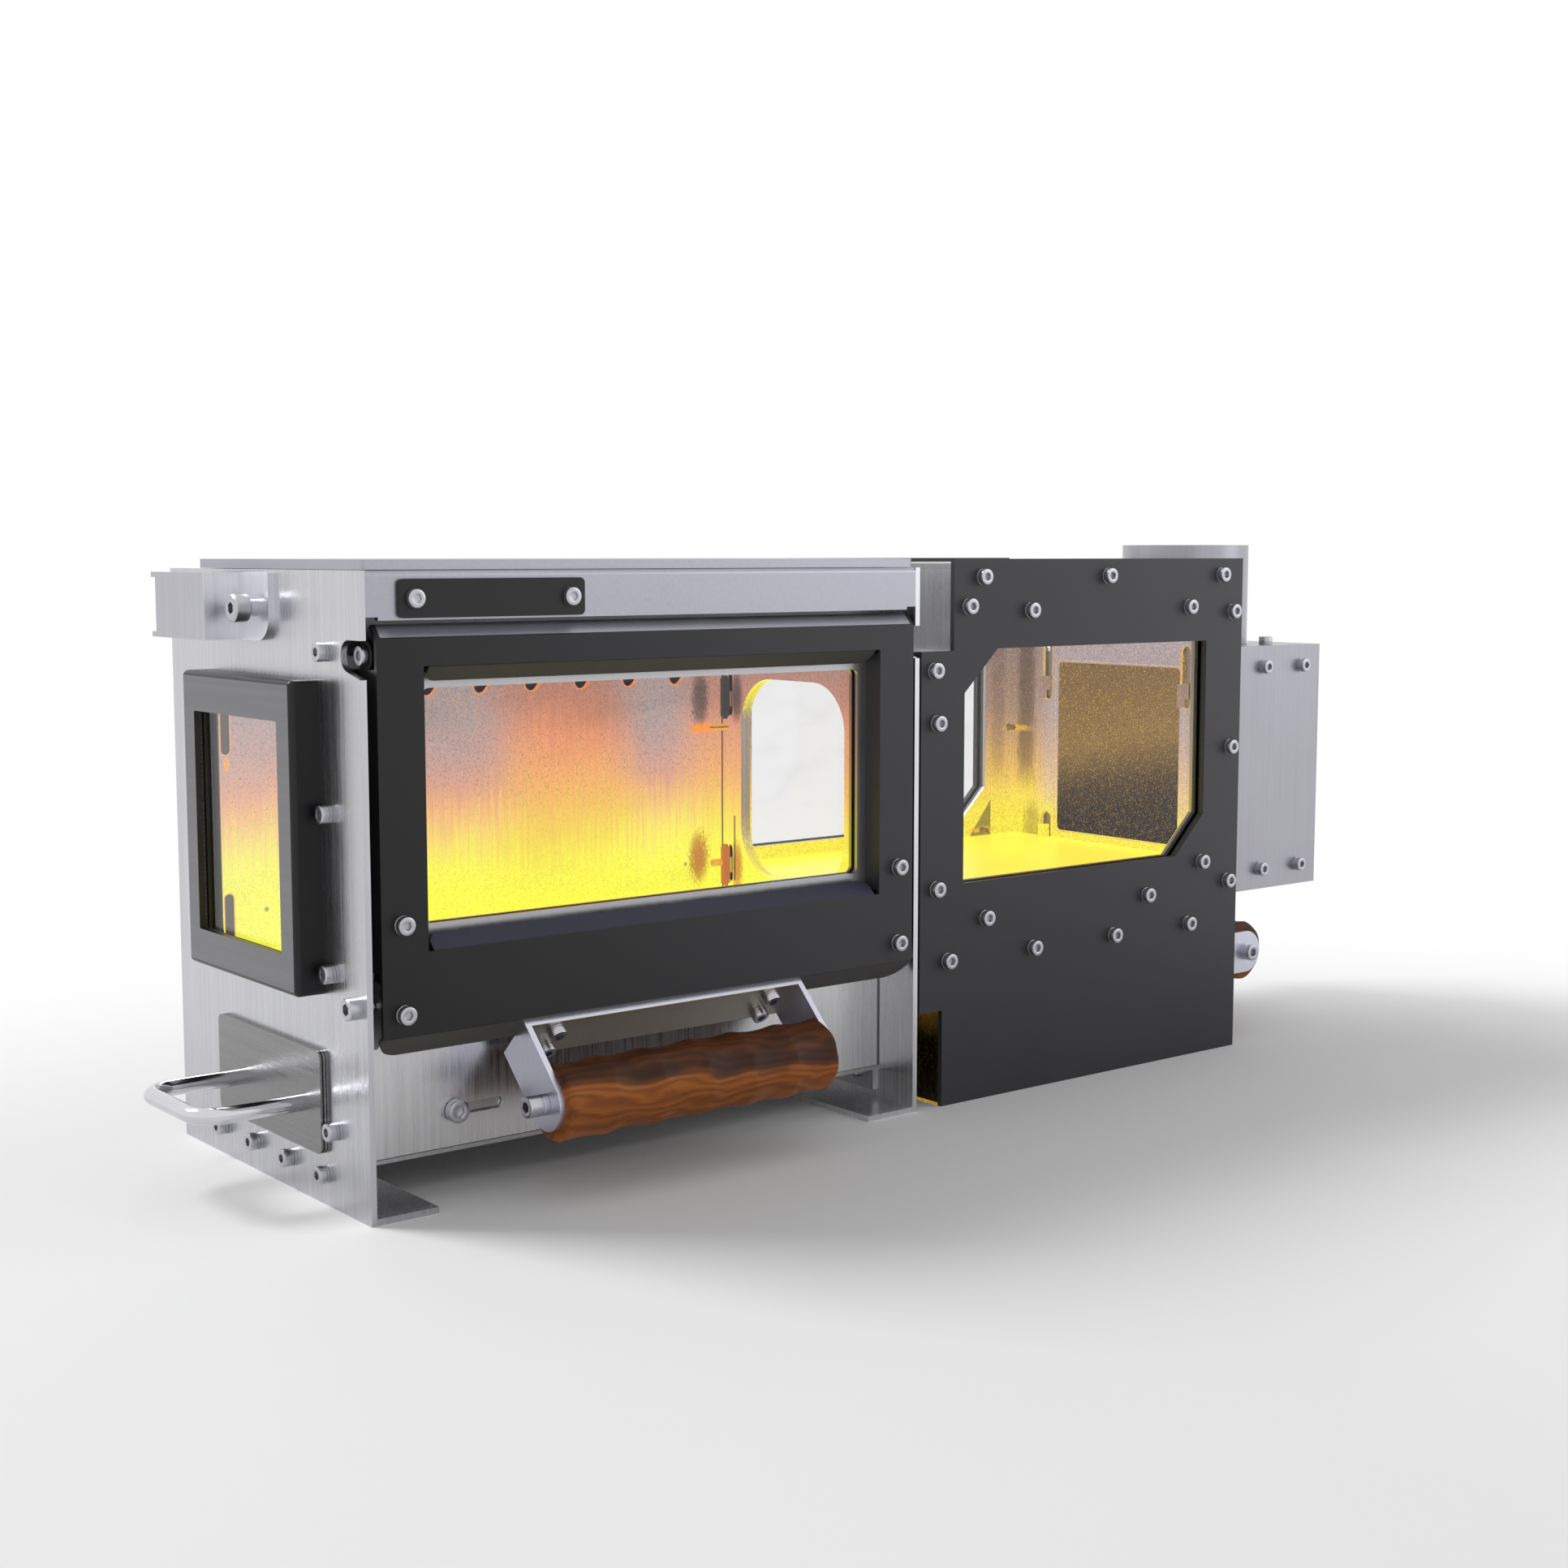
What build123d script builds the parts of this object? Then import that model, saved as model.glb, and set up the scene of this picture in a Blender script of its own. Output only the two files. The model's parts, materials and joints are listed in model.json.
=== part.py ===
from build123d import *

import math
import os
from collections import namedtuple

# A camping pellet stove in three sections, all in millimetres: the fire section with its hinged
# glass door, the glazed middle section, and the flue box with its round collar.
# While it is modelled, X = 0 is the inner face of the left end plate, Y = 0 the front edges of the
# end plates and Z = 0 the floor. save() then puts the origin under the middle of the whole stove.

# Fire section
DEPTH = 200.0
HEIGHT = 289.0
SPAN = 317.0
PLATE = 3.0
SHEET = 2.0
LEFT_FACE = -PLATE
RIGHT_FACE = SPAN + PLATE
FOOT_REACH = 31.0

# Door hinge, an axis along X near the top of the end plates
HINGE = (11.0, 251.8)
NOTCH_RADIUS = 7.0
NOTCH_SLOPE = 14.0
EAR_HOLE_RADIUS = 3.08
LUG_RADIUS = 6.5
LUG_NECK_Z = (245.5, 251.0)
LUG_X = ((7.1, 10.1), (310.5, 313.5))

# Front frame behind the door, and the panel under it
FRAME_Y = (27.0, 29.0)
FRAME_Z = (86.0, 286.0)
FRAME_OPENING = ((20.0, 297.0), (104.0, 238.6))
PANEL_Y = (28.0, 30.0)
PANEL_Z = (21.0, 85.5)
FLANGE_BACK = 38.0
AIR_SLOT_HALF = 2.75
SHELF_Z = (86.0, 88.0)

# Air control in the front panel
AIR_Z = 38.0
AIR_TRAVEL = 23.5
AIR_KNOB_X = 55.75
AIR_HOLES_X = (140.0, 187.0, 234.0)
AIR_HOLE = (20.0, 8.0)
AIR_GUIDE_X = (22.0, 292.0)
AIR_GUIDE_REACH = (10.4, 12.4, 6.0)
AIR_GUIDE_BACK = 34.8

# Top plate, fascia and lift-off hot plate
TOP_Z = (286.0, 289.0)
TOP_BACK = 180.0
FASCIA_BOTTOM = 267.3
FASCIA_END_STEP = (6.0, 1.5)
LID_OPENING = ((25.0, 292.0), (28.0, 150.0))
LID = ((0.0, 317.5), (3.0, 172.0), (289.2, 293.6))
LID_RIM_GAP = 1.0
LID_RIM_BOTTOM = 283.0
NAMEPLATE = ((15.3, 111.2), (268.2, 285.3))
NAMEPLATE_SCREW_X = (22.9, 103.6)

# Rear wall, liner, belly plate and grate
REAR_Y = (175.0, 177.0)
BELLY_Z = (18.0, 20.0)
LINER_Y = (167.0, 169.0)
LINER_SLOT_PITCH = 32.0
LINER_SLOT_LEAN = 50.0
GRATE_Z = (96.0, 98.0)

# Openings in the end plates, as (Y range, Z range)
SIDE_WINDOW = ((50.0, 148.0), (110.0, 228.0))
DRAWER_OPENING = ((47.0, 144.0), (27.0, 67.0))
PASSAGE = ((58.5, 151.0), (112.4, 225.4))
PASSAGE_RADIUS = 27.0
HOOK_Y = (42.0, 163.0)
HOOK_SLOTS_Z = ((104.8, 127.7), (202.0, 240.0))
HOOK_SLOT_WIDTH = 7.5
HOOK_HALF = 1.5
HOOK_REACH = (5.2, 9.0)
HOOK_ARM = 9.0
HOOK_DROP = 5.0

# Door
DOOR_X = (4.8, 315.8)
DOOR_Z = (83.0, 259.4)
DOOR_WINDOW = ((28.0, 293.0), (120.0, 247.0))
DOOR_LIP_RUN = 9.9
DOOR_GLASS_OPENING = ((33.5, 287.5), (130.4, 236.6))
DOOR_FRAME_Y = (11.5, 13.5)
GLASS_THICKNESS = 4.0
DOOR_SCREWS = ((15.0, 133.4), (15.0, 93.3), (305.0, 133.4), (305.0, 93.3))
SEAL_OUTER = ((12.5, 304.5), (98.0, 243.0))
SEAL_Y = (19.5, 26.7)
CATCH_TAB = ((2.0, 84.6), (9.6, 77.0), (18.0, 77.0), (18.0, 108.0), (2.0, 108.0))
CATCH_HOLE_RADIUS = 2.5
PLUNGER = (8.6, 97.0)

# Handles: a folded bracket, a wooden grip between its cheeks
BRACKET_LENGTH = 163.9
BRACKET_WIDTH = 25.5
GRIP_REACH = 37.5
GRIP_LENGTH = 157.8
GRIP_RADIUS = 18.5
GRIP_WAIST = 17.2
GRIP_LOBES = 6
BRACKET_SCREW = (63.5, 7.0)
BACKING_BAR = (76.0, 12.5, (-5.0, -2.0))
DOOR_HANDLE = Plane(origin=(159.55, 10.5, 72.5), x_dir=(1, 0, 0), z_dir=(0, -1, -1))
LOWER_DRAWER_HANDLE = Plane(origin=(572.0, 100.0, 51.0), x_dir=(0, 1, 0), z_dir=(1, 0, 0))

# Side window box on the left end plate
BOX = ((-17.0, LEFT_FACE), (40.0, 157.0), (98.0, 240.5))
BOX_WALL = 3.0
BOX_OPENING = ((54.3, 143.4), (116.0, 221.5))
BOX_GLASS = ((46.0, 151.5), (108.0, 229.5))

# Ash drawer, pulled out to the left
ASH_FRONT = ((-6.0, -3.2), (41.0, 150.0), (24.0, 72.0))
ASH_TRAY = ((-3.2, 282.0), (49.0, 142.0), (29.0, 65.0))
TRAY_WALL = 1.5
ASH_HANDLE_Y = (60.0, 124.0)
ASH_HANDLE_Z = 45.0
ASH_HANDLE_REACH = -55.4
ASH_HANDLE_ROD = 4.0
ASH_HANDLE_BEND = 13.0
RAIL_X = (4.0, 300.0)
RAIL_WEB = (48.0, 50.0)
RAIL_LEDGE = (36.0, 58.0)
RAIL_LEDGE_Z = (26.6, 28.6)
RAIL_TOP = 45.0

# Hanger bracket at the top of the left end plate: the Y of its pad, arm and fork tips
HANGER_Z = (256.2, 287.4)
HANGER_Y = (82.5, 115.5, 168.5, 173.4)
HANGER_STEP = -24.0
HANGER_CORNER = 11.5
HANGER_FORK = 2.5
STUD = (95.6, 271.3)
STUD_NECK = (4.0, 4.5)
STUD_HEAD = (6.5, 8.0)
STUD_NUT = (5.8, 5.0)

# Middle section
MID_LEFT = 321.5
MID_STEP_X = 344.5
MID_STEP_Z = 245.0
MID_FOOT_X = 337.8
MID_FOOT_Z = 52.5
MID_RIGHT = 577.0
MID_TOP = 293.4
INNER_TOP = 288.0
INNER_WALL_Y = (10.5, 13.0)
WINDOW_CORNERS = (
    (376.7, 245.5), (545.8, 245.5), (545.8, 143.7),
    (522.0, 120.0), (352.5, 120.0), (352.5, 222.3),
)
WINDOW_RING = 12.0
WINDOW_REBATE = 8.0
PANEL_SCREWS = (
    (364.0, 283.9), (460.4, 283.9), (556.8, 283.9), (353.8, 268.4), (400.1, 265.6),
    (528.7, 265.6), (567.1, 262.4), (566.9, 182.2), (567.1, 101.9), (329.6, 235.0),
    (331.8, 207.2), (331.8, 118.9), (368.2, 99.9), (496.7, 99.9), (543.5, 115.3),
    (340.7, 79.4), (405.0, 79.4), (469.2, 79.4), (532.7, 79.4),
)
STANDOFF_RADIUS = 3.9
FLOOR_Z = (109.0, 112.0)
MID_BASE_Z = (18.0, 21.0)
FLUE_HOLE = ((46.0, 150.0), (117.0, 226.4))
LOWER_OPENING = ((14.0, 186.0), (24.0, 78.0))
LOWER_FRONT = ((569.0, 572.0), (15.0, 185.0), (24.6, 77.4))
LOWER_TRAY = ((345.0, 569.0), (20.0, 180.0), (24.6, 70.0))

# Flue box
FLUE_X = (577.0, 702.6)
FLUE_Y = (40.0, 160.0)
FLUE_Z = (84.0, 238.4)
FLUE_HOOK_Y = (41.5, 158.5)
FLUE_BOLT_X = (610.0, 647.2, 684.1)
FLUE_BOLT_Z = (97.0, 225.3)
COLLAR_CENTRE = (640.0, 100.0)
COLLAR_RADIUS = 40.0
COLLAR_WALL = 1.5
COLLAR_TOP = 301.5
COLLAR_NECK = (39.4, 239.9)
COLLAR_SEAT = (84.0, 104.0)
COLLAR_SCREW = (27.0, 45.0)

# Screws: shank diameter, head diameter, head height, hexagon key
Screw = namedtuple("Screw", "shank head height key")
M5 = Screw(5.0, 8.5, 5.0, 4.0)
M6 = Screw(6.0, 10.0, 6.0, 5.0)
BUTTON = Screw(5.0, 8.5, 2.6, 3.0)
HINGE_SCREW = Screw(6.0, 9.0, 3.0, 4.0)
KNOB_SCREW = Screw(5.0, 11.0, 4.5, 4.0)

# Where the screws of the fire section go
COLUMN_Y = 32.5
COLUMN_Z = (36.6, 108.8, 180.9, 253.0)
ROW_Y = (43.0, 79.4, 115.8, 152.2)
ROW_Z = 14.5
REAR_SCREWS_TOP = tuple((x, 274.0) for x in (40.0, 119.0, 198.0, 277.0))
REAR_SCREWS_BOTTOM = tuple((x, 30.0) for x in (40.0, 119.0, 198.0, 277.0))
LINER_SCREWS = ((30.0, 118.0), (287.0, 118.0), (30.0, 248.0), (287.0, 248.0))

# Footprint of the whole stove: from the U handle to the end of the flue box, and from the front
# of the wooden grip to the rear screw heads
FOOTPRINT_X = (ASH_HANDLE_REACH - ASH_HANDLE_ROD, FLUE_X[1])
FOOTPRINT_Y = (DOOR_HANDLE.origin.Y - GRIP_REACH / math.sqrt(2) - GRIP_RADIUS, DEPTH + M5.height)


def block(x, y, z):
    """A box from its ranges along X, Y and Z."""
    middle = ((low + high) / 2 for low, high in (x, y, z))
    return Pos(*middle) * Box(x[1] - x[0], y[1] - y[0], z[1] - z[0])


def rect(across, up, radius=0.0):
    """A flat rectangle from its two ranges, with rounded corners if a radius is given."""
    size = (across[1] - across[0], up[1] - up[0])
    shape = RectangleRounded(*size, radius) if radius else Rectangle(*size)
    return Pos(sum(across) / 2, sum(up) / 2) * shape


def plate_yz(sketch, x):
    """A sheet across X whose outline is drawn in Y and Z."""
    return extrude(Plane.YZ.offset(x[0]) * sketch, x[1] - x[0], dir=(1, 0, 0))


def plate_xz(sketch, y):
    """A sheet across Y whose outline is drawn in X and Z."""
    return extrude(Plane.XZ.offset(-y[0]) * sketch, y[1] - y[0], dir=(0, 1, 0))


def plate_xy(sketch, z):
    """A sheet across Z whose outline is drawn in X and Y."""
    return extrude(Plane.XY.offset(z[0]) * sketch, z[1] - z[0], dir=(0, 0, 1))


def grown(span, amount):
    """A range made longer by an amount at both ends."""
    return (span[0] - amount, span[1] + amount)


def lip(x, start, end, thickness, radius=0.0):
    """A folded strip from its bend line to its free edge, both (Y, Z), with rounded free corners."""
    run = Vector(0, end[0] - start[0], end[1] - start[1])
    plane = Plane(origin=(x[0], *start), x_dir=(1, 0, 0), z_dir=Vector(1, 0, 0).cross(run))
    strip = rect((0, x[1] - x[0]), (0, run.length))
    if radius:
        strip = fillet(strip.vertices().group_by(Axis.Y)[-1], radius)
    return extrude(plane * strip, abs(thickness), dir=plane.z_dir * math.copysign(1, thickness))


def aimed(shape, point, way):
    """A shape made along +Z, moved to a point and turned to face a way."""
    return Plane(origin=point, z_dir=way).location * shape


def screw(kind, length):
    """A socket screw along Z: its head above Z = 0 and its shank below."""
    head = Pos(0, 0, kind.height / 2) * Cylinder(kind.head / 2, kind.height)
    head = chamfer(head.edges().group_by(Axis.Z)[-1], 0.1 * kind.head / 2)
    shank = Pos(0, 0, -length / 2) * Cylinder(kind.shank / 2, length)
    key = Plane.XY.offset(0.4 * kind.height) * RegularPolygon(kind.key / math.sqrt(3), 6)
    return head + shank - extrude(key, kind.height)


def screws(kind, length, places):
    """One screw at each of the places."""
    return [aimed(screw(kind, length), point, way) for point, way in places]


def drilled(part, kind, length, places):
    """The part with a hole for each screw shank that crosses it."""
    shank = Pos(0, 0, -length / 2) * Cylinder(kind.shank / 2, length)
    return part - [aimed(shank, point, way) for point, way in places]


def window_sketch(growth=0.0):
    """The six-sided window of the middle section, made larger by an amount on every side."""
    corners = Polygon(*WINDOW_CORNERS, align=None)
    return offset(corners, growth, kind=Kind.INTERSECTION) if growth else corners


# Screw places, each a point under the head and the way that the head faces


def column_places(x, way, heights):
    return [((x, COLUMN_Y, z), (way, 0, 0)) for z in heights]


def row_places(x, way):
    return [((x, y, ROW_Z), (way, 0, 0)) for y in ROW_Y]


def left_places():
    return column_places(LEFT_FACE, -1, COLUMN_Z) + row_places(LEFT_FACE, -1)


def right_places():
    """The right plate has no heads where the middle section stands close to it."""
    return column_places(RIGHT_FACE, 1, (COLUMN_Z[0], COLUMN_Z[-1])) + row_places(RIGHT_FACE, 1)


def rear_places():
    top = [((x, TOP_BACK, z), (0, 1, 0)) for x, z in REAR_SCREWS_TOP]
    return top + [((x, REAR_Y[1], z), (0, 1, 0)) for x, z in REAR_SCREWS_BOTTOM + LINER_SCREWS]


def nameplate_places():
    return [((x, -SHEET, sum(NAMEPLATE[1]) / 2), (0, -1, 0)) for x in NAMEPLATE_SCREW_X]


def panel_places(front):
    y, way = (0.0, -1) if front else (DEPTH, 1)
    return [((x, y, z), (0, way, 0)) for x, z in PANEL_SCREWS]


def flue_places():
    sides = ((FLUE_Y[0], -1), (FLUE_Y[1], 1))
    return [((x, y, z), (0, way, 0)) for y, way in sides for x in FLUE_BOLT_X for z in FLUE_BOLT_Z]


def collar_places():
    x, y = COLLAR_CENTRE
    across, along = COLLAR_SCREW
    corners = [(x + i * across, y + j * along) for i in (-1, 1) for j in (-1, 1)]
    return [((*corner, FLUE_Z[1]), (0, 0, 1)) for corner in corners]


def door_places():
    return [((x, 0, z), (0, -1, 0)) for x, z in DOOR_SCREWS]


def bracket_places():
    """The four web screws of a handle, in the handle's own frame."""
    across, up = BRACKET_SCREW
    return [((i * across, j * up, PLATE), (0, 0, 1)) for i in (-1, 1) for j in (-1, 1)]


def grip_places():
    """The two bolts into the ends of a grip, in the handle's own frame."""
    return [((i * BRACKET_LENGTH / 2, 0, GRIP_REACH), (i, 0, 0)) for i in (-1, 1)]


# Fire section


def end_plate_outline():
    """An end plate in Y and Z, with the sloping notch at the front for the door's hinge."""
    y, z = HINGE
    slope = math.radians(NOTCH_SLOPE)
    touch = (y + NOTCH_RADIUS * math.sin(slope), z - NOTCH_RADIUS * math.cos(slope))
    front = -1.0
    low = touch[1] - (touch[0] - front) * math.tan(slope)
    notch = Polygon((front, low), touch, (y, z + NOTCH_RADIUS), (front, z + NOTCH_RADIUS), align=None)
    disc = Pos(y, z) * Circle(NOTCH_RADIUS)
    return rect((0, DEPTH), (0, HEIGHT)) - notch - disc


def hook_slots(columns):
    """Upright slots with round ends that take the hooks of the next section."""
    slots = []
    for y in columns:
        for z in HOOK_SLOTS_Z:
            slots.append(rect(grown((y, y), HOOK_SLOT_WIDTH / 2), z, HOOK_SLOT_WIDTH / 2 - 0.01))
    return slots


def passage_sketch():
    return rect(*PASSAGE, PASSAGE_RADIUS)


def left_end_plate():
    outline = end_plate_outline() - rect(*SIDE_WINDOW, 4.0) - rect(*DRAWER_OPENING, 2.0)
    body = plate_yz(outline, (LEFT_FACE, 0))
    body += block((LEFT_FACE, FOOT_REACH), (0, DEPTH), (0, PLATE))
    body = drilled(body, M5, 8.0, left_places())
    body = drilled(body, M6, 8.0, [((LEFT_FACE, *PLUNGER), (-1, 0, 0))])
    return drilled(body, M6, 8.0, [((LEFT_FACE, *STUD), (-1, 0, 0))])


def right_end_plate():
    outline = end_plate_outline() - passage_sketch() - hook_slots(HOOK_Y)
    body = plate_yz(outline, (SPAN, RIGHT_FACE))
    body += block((SPAN - FOOT_REACH, RIGHT_FACE), (0, DEPTH), (0, PLATE))
    return drilled(body, M5, 8.0, right_places())


def top_plate():
    """Top plate with its front fascia and rear flange, open in the middle for the hot plate."""
    fold = rect((0, TOP_BACK), TOP_Z) + rect((0, PLATE), (FASCIA_BOTTOM, TOP_Z[1]))
    fold += rect((TOP_BACK - PLATE, TOP_BACK), (264.0, TOP_Z[1]))
    fold = fillet(fold.vertices().sort_by_distance((0, TOP_Z[1]))[0], 2.5)
    body = plate_yz(fold, (0, SPAN)) - plate_xy(rect(*LID_OPENING, 6.0), (280.0, 290.0))
    reach, rise = FASCIA_END_STEP
    for x in ((0, reach), (SPAN - reach, SPAN)):
        body -= block(x, (0, PLATE), (FASCIA_BOTTOM, FASCIA_BOTTOM + rise))
    body = drilled(body, BUTTON, 8.0, nameplate_places())
    return drilled(body, M5, 8.0, rear_places())


def front_frame():
    """Folded frame that the door closes on, with hinge lugs, side flanges and a grate shelf."""
    plate = rect((0, SPAN), FRAME_Z) - rect(*FRAME_OPENING, 6.0)
    body = plate_xz(plate, FRAME_Y)
    for x in ((0, SHEET), (SPAN - SHEET, SPAN)):
        body += block(x, (FRAME_Y[1], FLANGE_BACK), FRAME_Z)
    body += block((0, SPAN), (FRAME_Y[1], FLANGE_BACK), SHELF_Z)
    lug = Pos(*HINGE) * Circle(LUG_RADIUS) + rect((HINGE[0], FRAME_Y[0]), LUG_NECK_Z)
    lug -= Pos(*HINGE) * Circle(HINGE_SCREW.shank / 2)
    for x in LUG_X:
        body += plate_yz(lug, x)
    body = drilled(body, M5, 8.0, left_places())
    return drilled(body, M5, 8.0, right_places())


def lower_front_panel():
    """Panel under the door, with the slot for the air knob and three air holes."""
    slot = rect((AIR_KNOB_X - AIR_SLOT_HALF, AIR_KNOB_X + AIR_TRAVEL + AIR_SLOT_HALF),
                grown((AIR_Z, AIR_Z), AIR_SLOT_HALF), AIR_SLOT_HALF - 0.01)
    holes = [Pos(x, AIR_Z) * RectangleRounded(*AIR_HOLE, 2.0) for x in AIR_HOLES_X]
    body = plate_xz(rect((0, SPAN), PANEL_Z) - slot - holes, PANEL_Y)
    for x in ((0, SHEET), (SPAN - SHEET, SPAN)):
        body += block(x, (PANEL_Y[1], FLANGE_BACK), PANEL_Z)
    body = drilled(body, M5, 8.0, left_places())
    return drilled(body, M5, 8.0, right_places())


def belly_plate():
    """Floor under the ash drawer, bolted to the end plates by its down-turned sides."""
    body = block((0, SPAN), (PANEL_Y[1], REAR_Y[1]), BELLY_Z)
    for x in ((0, SHEET), (SPAN - SHEET, SPAN)):
        body += block(x, (PANEL_Y[1], REAR_Y[1]), (7.0, BELLY_Z[1]))
    body += block((10.0, SPAN - 10.0), (REAR_Y[0] - SHEET, REAR_Y[0]), (BELLY_Z[0], 40.0))
    for places in (left_places(), right_places(), rear_places()):
        body = drilled(body, M5, 8.0, places)
    return body


def rear_wall():
    body = block((0, SPAN), REAR_Y, (BELLY_Z[1], TOP_Z[0]))
    return drilled(body, M5, 8.0, rear_places())


def rear_liner():
    """Bright sheet in front of the rear wall, with leaning air slots and a shelf for the grate."""
    outline = rect((2.0, SPAN - 2.0), (SHELF_Z[0], 284.0))
    lean = math.radians(LINER_SLOT_LEAN)
    length, width = 30.0, 8.0
    for step in range(9):
        foot = 26.0 + step * LINER_SLOT_PITCH
        middle = (foot + 11.0 * math.cos(lean), 226.0 + 11.0 * math.sin(lean))
        outline -= Pos(*middle) * Rot(0, 0, LINER_SLOT_LEAN) * SlotOverall(length, width)
    body = plate_xz(outline, LINER_Y)
    body += block((2.0, SPAN - 2.0), (152.0, LINER_Y[0]), SHELF_Z)
    return drilled(body, M5, 12.0, rear_places())


def fire_grate():
    """Slotted grate standing on its folded front and rear edges."""
    x, y = (3.0, SPAN - 3.0), (31.0, 165.0)
    slots = GridLocations(14.0, 60.0, 20, 2) * SlotOverall(50.0, 6.0, rotation=90)
    slots = [Pos(sum(x) / 2, sum(y) / 2) * slot for slot in slots]
    body = plate_xy(rect(x, y) - slots, GRATE_Z)
    for edge in ((y[0], y[0] + SHEET), (y[1] - SHEET, y[1])):
        body += block(x, edge, (SHELF_Z[1], GRATE_Z[1]))
    return body


def air_slide_guides():
    """Two folded strips that hold the air slide against the back of the front panel."""
    lip_y = (AIR_GUIDE_BACK - SHEET, AIR_GUIDE_BACK)
    guides = []
    for side in (-1, 1):
        near, far, inner = (AIR_Z + side * reach for reach in AIR_GUIDE_REACH)
        guide = block(AIR_GUIDE_X, (PANEL_Y[1], AIR_GUIDE_BACK), sorted((near, far)))
        guides.append(guide + block(AIR_GUIDE_X, lip_y, sorted((inner, far))))
    return guides


def drawer_rails():
    """Rails for both drawers: angles for the ash drawer and flat strips for the lower one."""
    middle = sum(ASH_TRAY[1]) / 2
    rails = []
    for side in (-1, 1):
        near, far = (middle + side * reach for reach in RAIL_WEB)
        inner, outer = (middle + side * reach for reach in RAIL_LEDGE)
        rail = block(RAIL_X, sorted((near, far)), (BELLY_Z[1], RAIL_TOP))
        rail += block(RAIL_X, sorted((near, inner)), RAIL_LEDGE_Z)
        rail += block(RAIL_X, sorted((near, outer)), (BELLY_Z[1], BELLY_Z[1] + SHEET))
        rails.append(rail)
    for y in ((24.0, 44.0), (156.0, 176.0)):
        rails.append(block((345.0, 570.0), y, (MID_BASE_Z[1], 24.2)))
    return rails


# Side window box


def side_window_cover():
    body = block(*BOX)
    outer = [edge for edge in body.edges() if edge.center().X < LEFT_FACE - 0.1]
    body = fillet(outer, 2.8)
    body -= block((BOX[0][0] + BOX_WALL, BOX[0][1]), grown(BOX[1], -BOX_WALL), grown(BOX[2], -BOX_WALL))
    return body - plate_yz(rect(*BOX_OPENING, 1.0), (BOX[0][0] - 1, BOX[0][1]))


def side_window_retainer():
    """Folded frame that presses the side glass into its box."""
    outer = (grown(BOX[1], -3.4), grown(BOX[2], -3.4))
    opening = (grown(BOX_OPENING[0], 2.0), grown(BOX_OPENING[1], 3.0))
    body = plate_yz(rect(*outer) - rect(*opening), (-9.0, -7.5))
    inner = (grown(outer[0], -TRAY_WALL), grown(outer[1], -TRAY_WALL))
    return body + plate_yz(rect(*outer) - rect(*inner), (-7.5, LEFT_FACE))


def side_window_glass():
    return block((-13.0, -9.0), *BOX_GLASS)


def window_gaskets():
    """Flat seals of the side glass, of both middle windows and of the passage between sections."""
    side = plate_yz(rect(*BOX_GLASS) - rect(*BOX_OPENING), (-14.0, -13.0))
    passage = rect(grown(PASSAGE[0], 4.0), grown(PASSAGE[1], 4.0), PASSAGE_RADIUS) - passage_sketch()
    between = plate_yz(passage, (RIGHT_FACE, MID_LEFT))
    ring = window_sketch(WINDOW_REBATE - 0.3) - window_sketch()
    return [side, between, plate_xz(ring, (3.0, 4.0)), plate_xz(ring, (DEPTH - 4.0, DEPTH - 3.0))]


# Top fittings


def nameplate():
    """Bare plate on the fascia."""
    body = plate_xz(rect(*NAMEPLATE, 2.5), (-SHEET, 0))
    return drilled(body, BUTTON, 8.0, nameplate_places())


def hanger_bracket():
    """Stepped bracket on the left plate: a fixed pad, a step outwards and a forked arm to the rear."""
    near, bend, tail, tips = HANGER_Y
    arm = (HANGER_STEP, HANGER_STEP + PLATE)
    pad = rect((near, bend), HANGER_Z)
    pad = fillet(pad.vertices().sort_by_distance((near, HANGER_Z[0]))[0], HANGER_CORNER)
    body = plate_yz(pad, (LEFT_FACE - PLATE, LEFT_FACE))
    body += block((HANGER_STEP, LEFT_FACE), (bend - PLATE, bend), HANGER_Z)
    body += block(arm, (bend - PLATE, tail), HANGER_Z)
    for z in ((HANGER_Z[0], HANGER_Z[0] + HANGER_FORK), (HANGER_Z[1] - HANGER_FORK, HANGER_Z[1])):
        body += block(arm, (tail, tips), z)
    return drilled(body, M6, 8.0, [((LEFT_FACE - PLATE, *STUD), (-1, 0, 0))])


def hanging_stud():
    """Headed stud that holds the bracket, with its nut inside."""
    pad, shank = LEFT_FACE - PLATE, M6.shank / 2
    head_radius, head_height = STUD_HEAD
    nut_radius, nut_height = STUD_NUT
    body = aimed(Pos(0, 0, 4.25) * Cylinder(shank, 8.5), (pad, *STUD), (1, 0, 0))
    body += aimed(Pos(0, 0, STUD_NECK[1] / 2) * Cylinder(*STUD_NECK), (pad, *STUD), (-1, 0, 0))
    head = Pos(0, 0, head_height / 2) * Cylinder(head_radius, head_height)
    head = chamfer(head.edges(), 0.8)
    head -= extrude(Plane.XY.offset(3.5) * RegularPolygon(M6.key / math.sqrt(3), 6), head_height)
    body += aimed(head, (pad - STUD_NECK[1], *STUD), (-1, 0, 0))
    nut = extrude(RegularPolygon(nut_radius, 6) - Circle(shank), nut_height)
    return [body, aimed(nut, (0, *STUD), (1, 0, 0))]


def body_screws():
    """Every socket screw of the fire section, and the two buttons of the nameplate."""
    group = screws(M5, 8.0, left_places() + right_places())
    group += screws(M5, 8.0, rear_places()[: len(REAR_SCREWS_TOP + REAR_SCREWS_BOTTOM)])
    group += screws(M5, 12.0, rear_places()[-len(LINER_SCREWS):])
    return group + screws(BUTTON, 8.0, nameplate_places())


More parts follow.
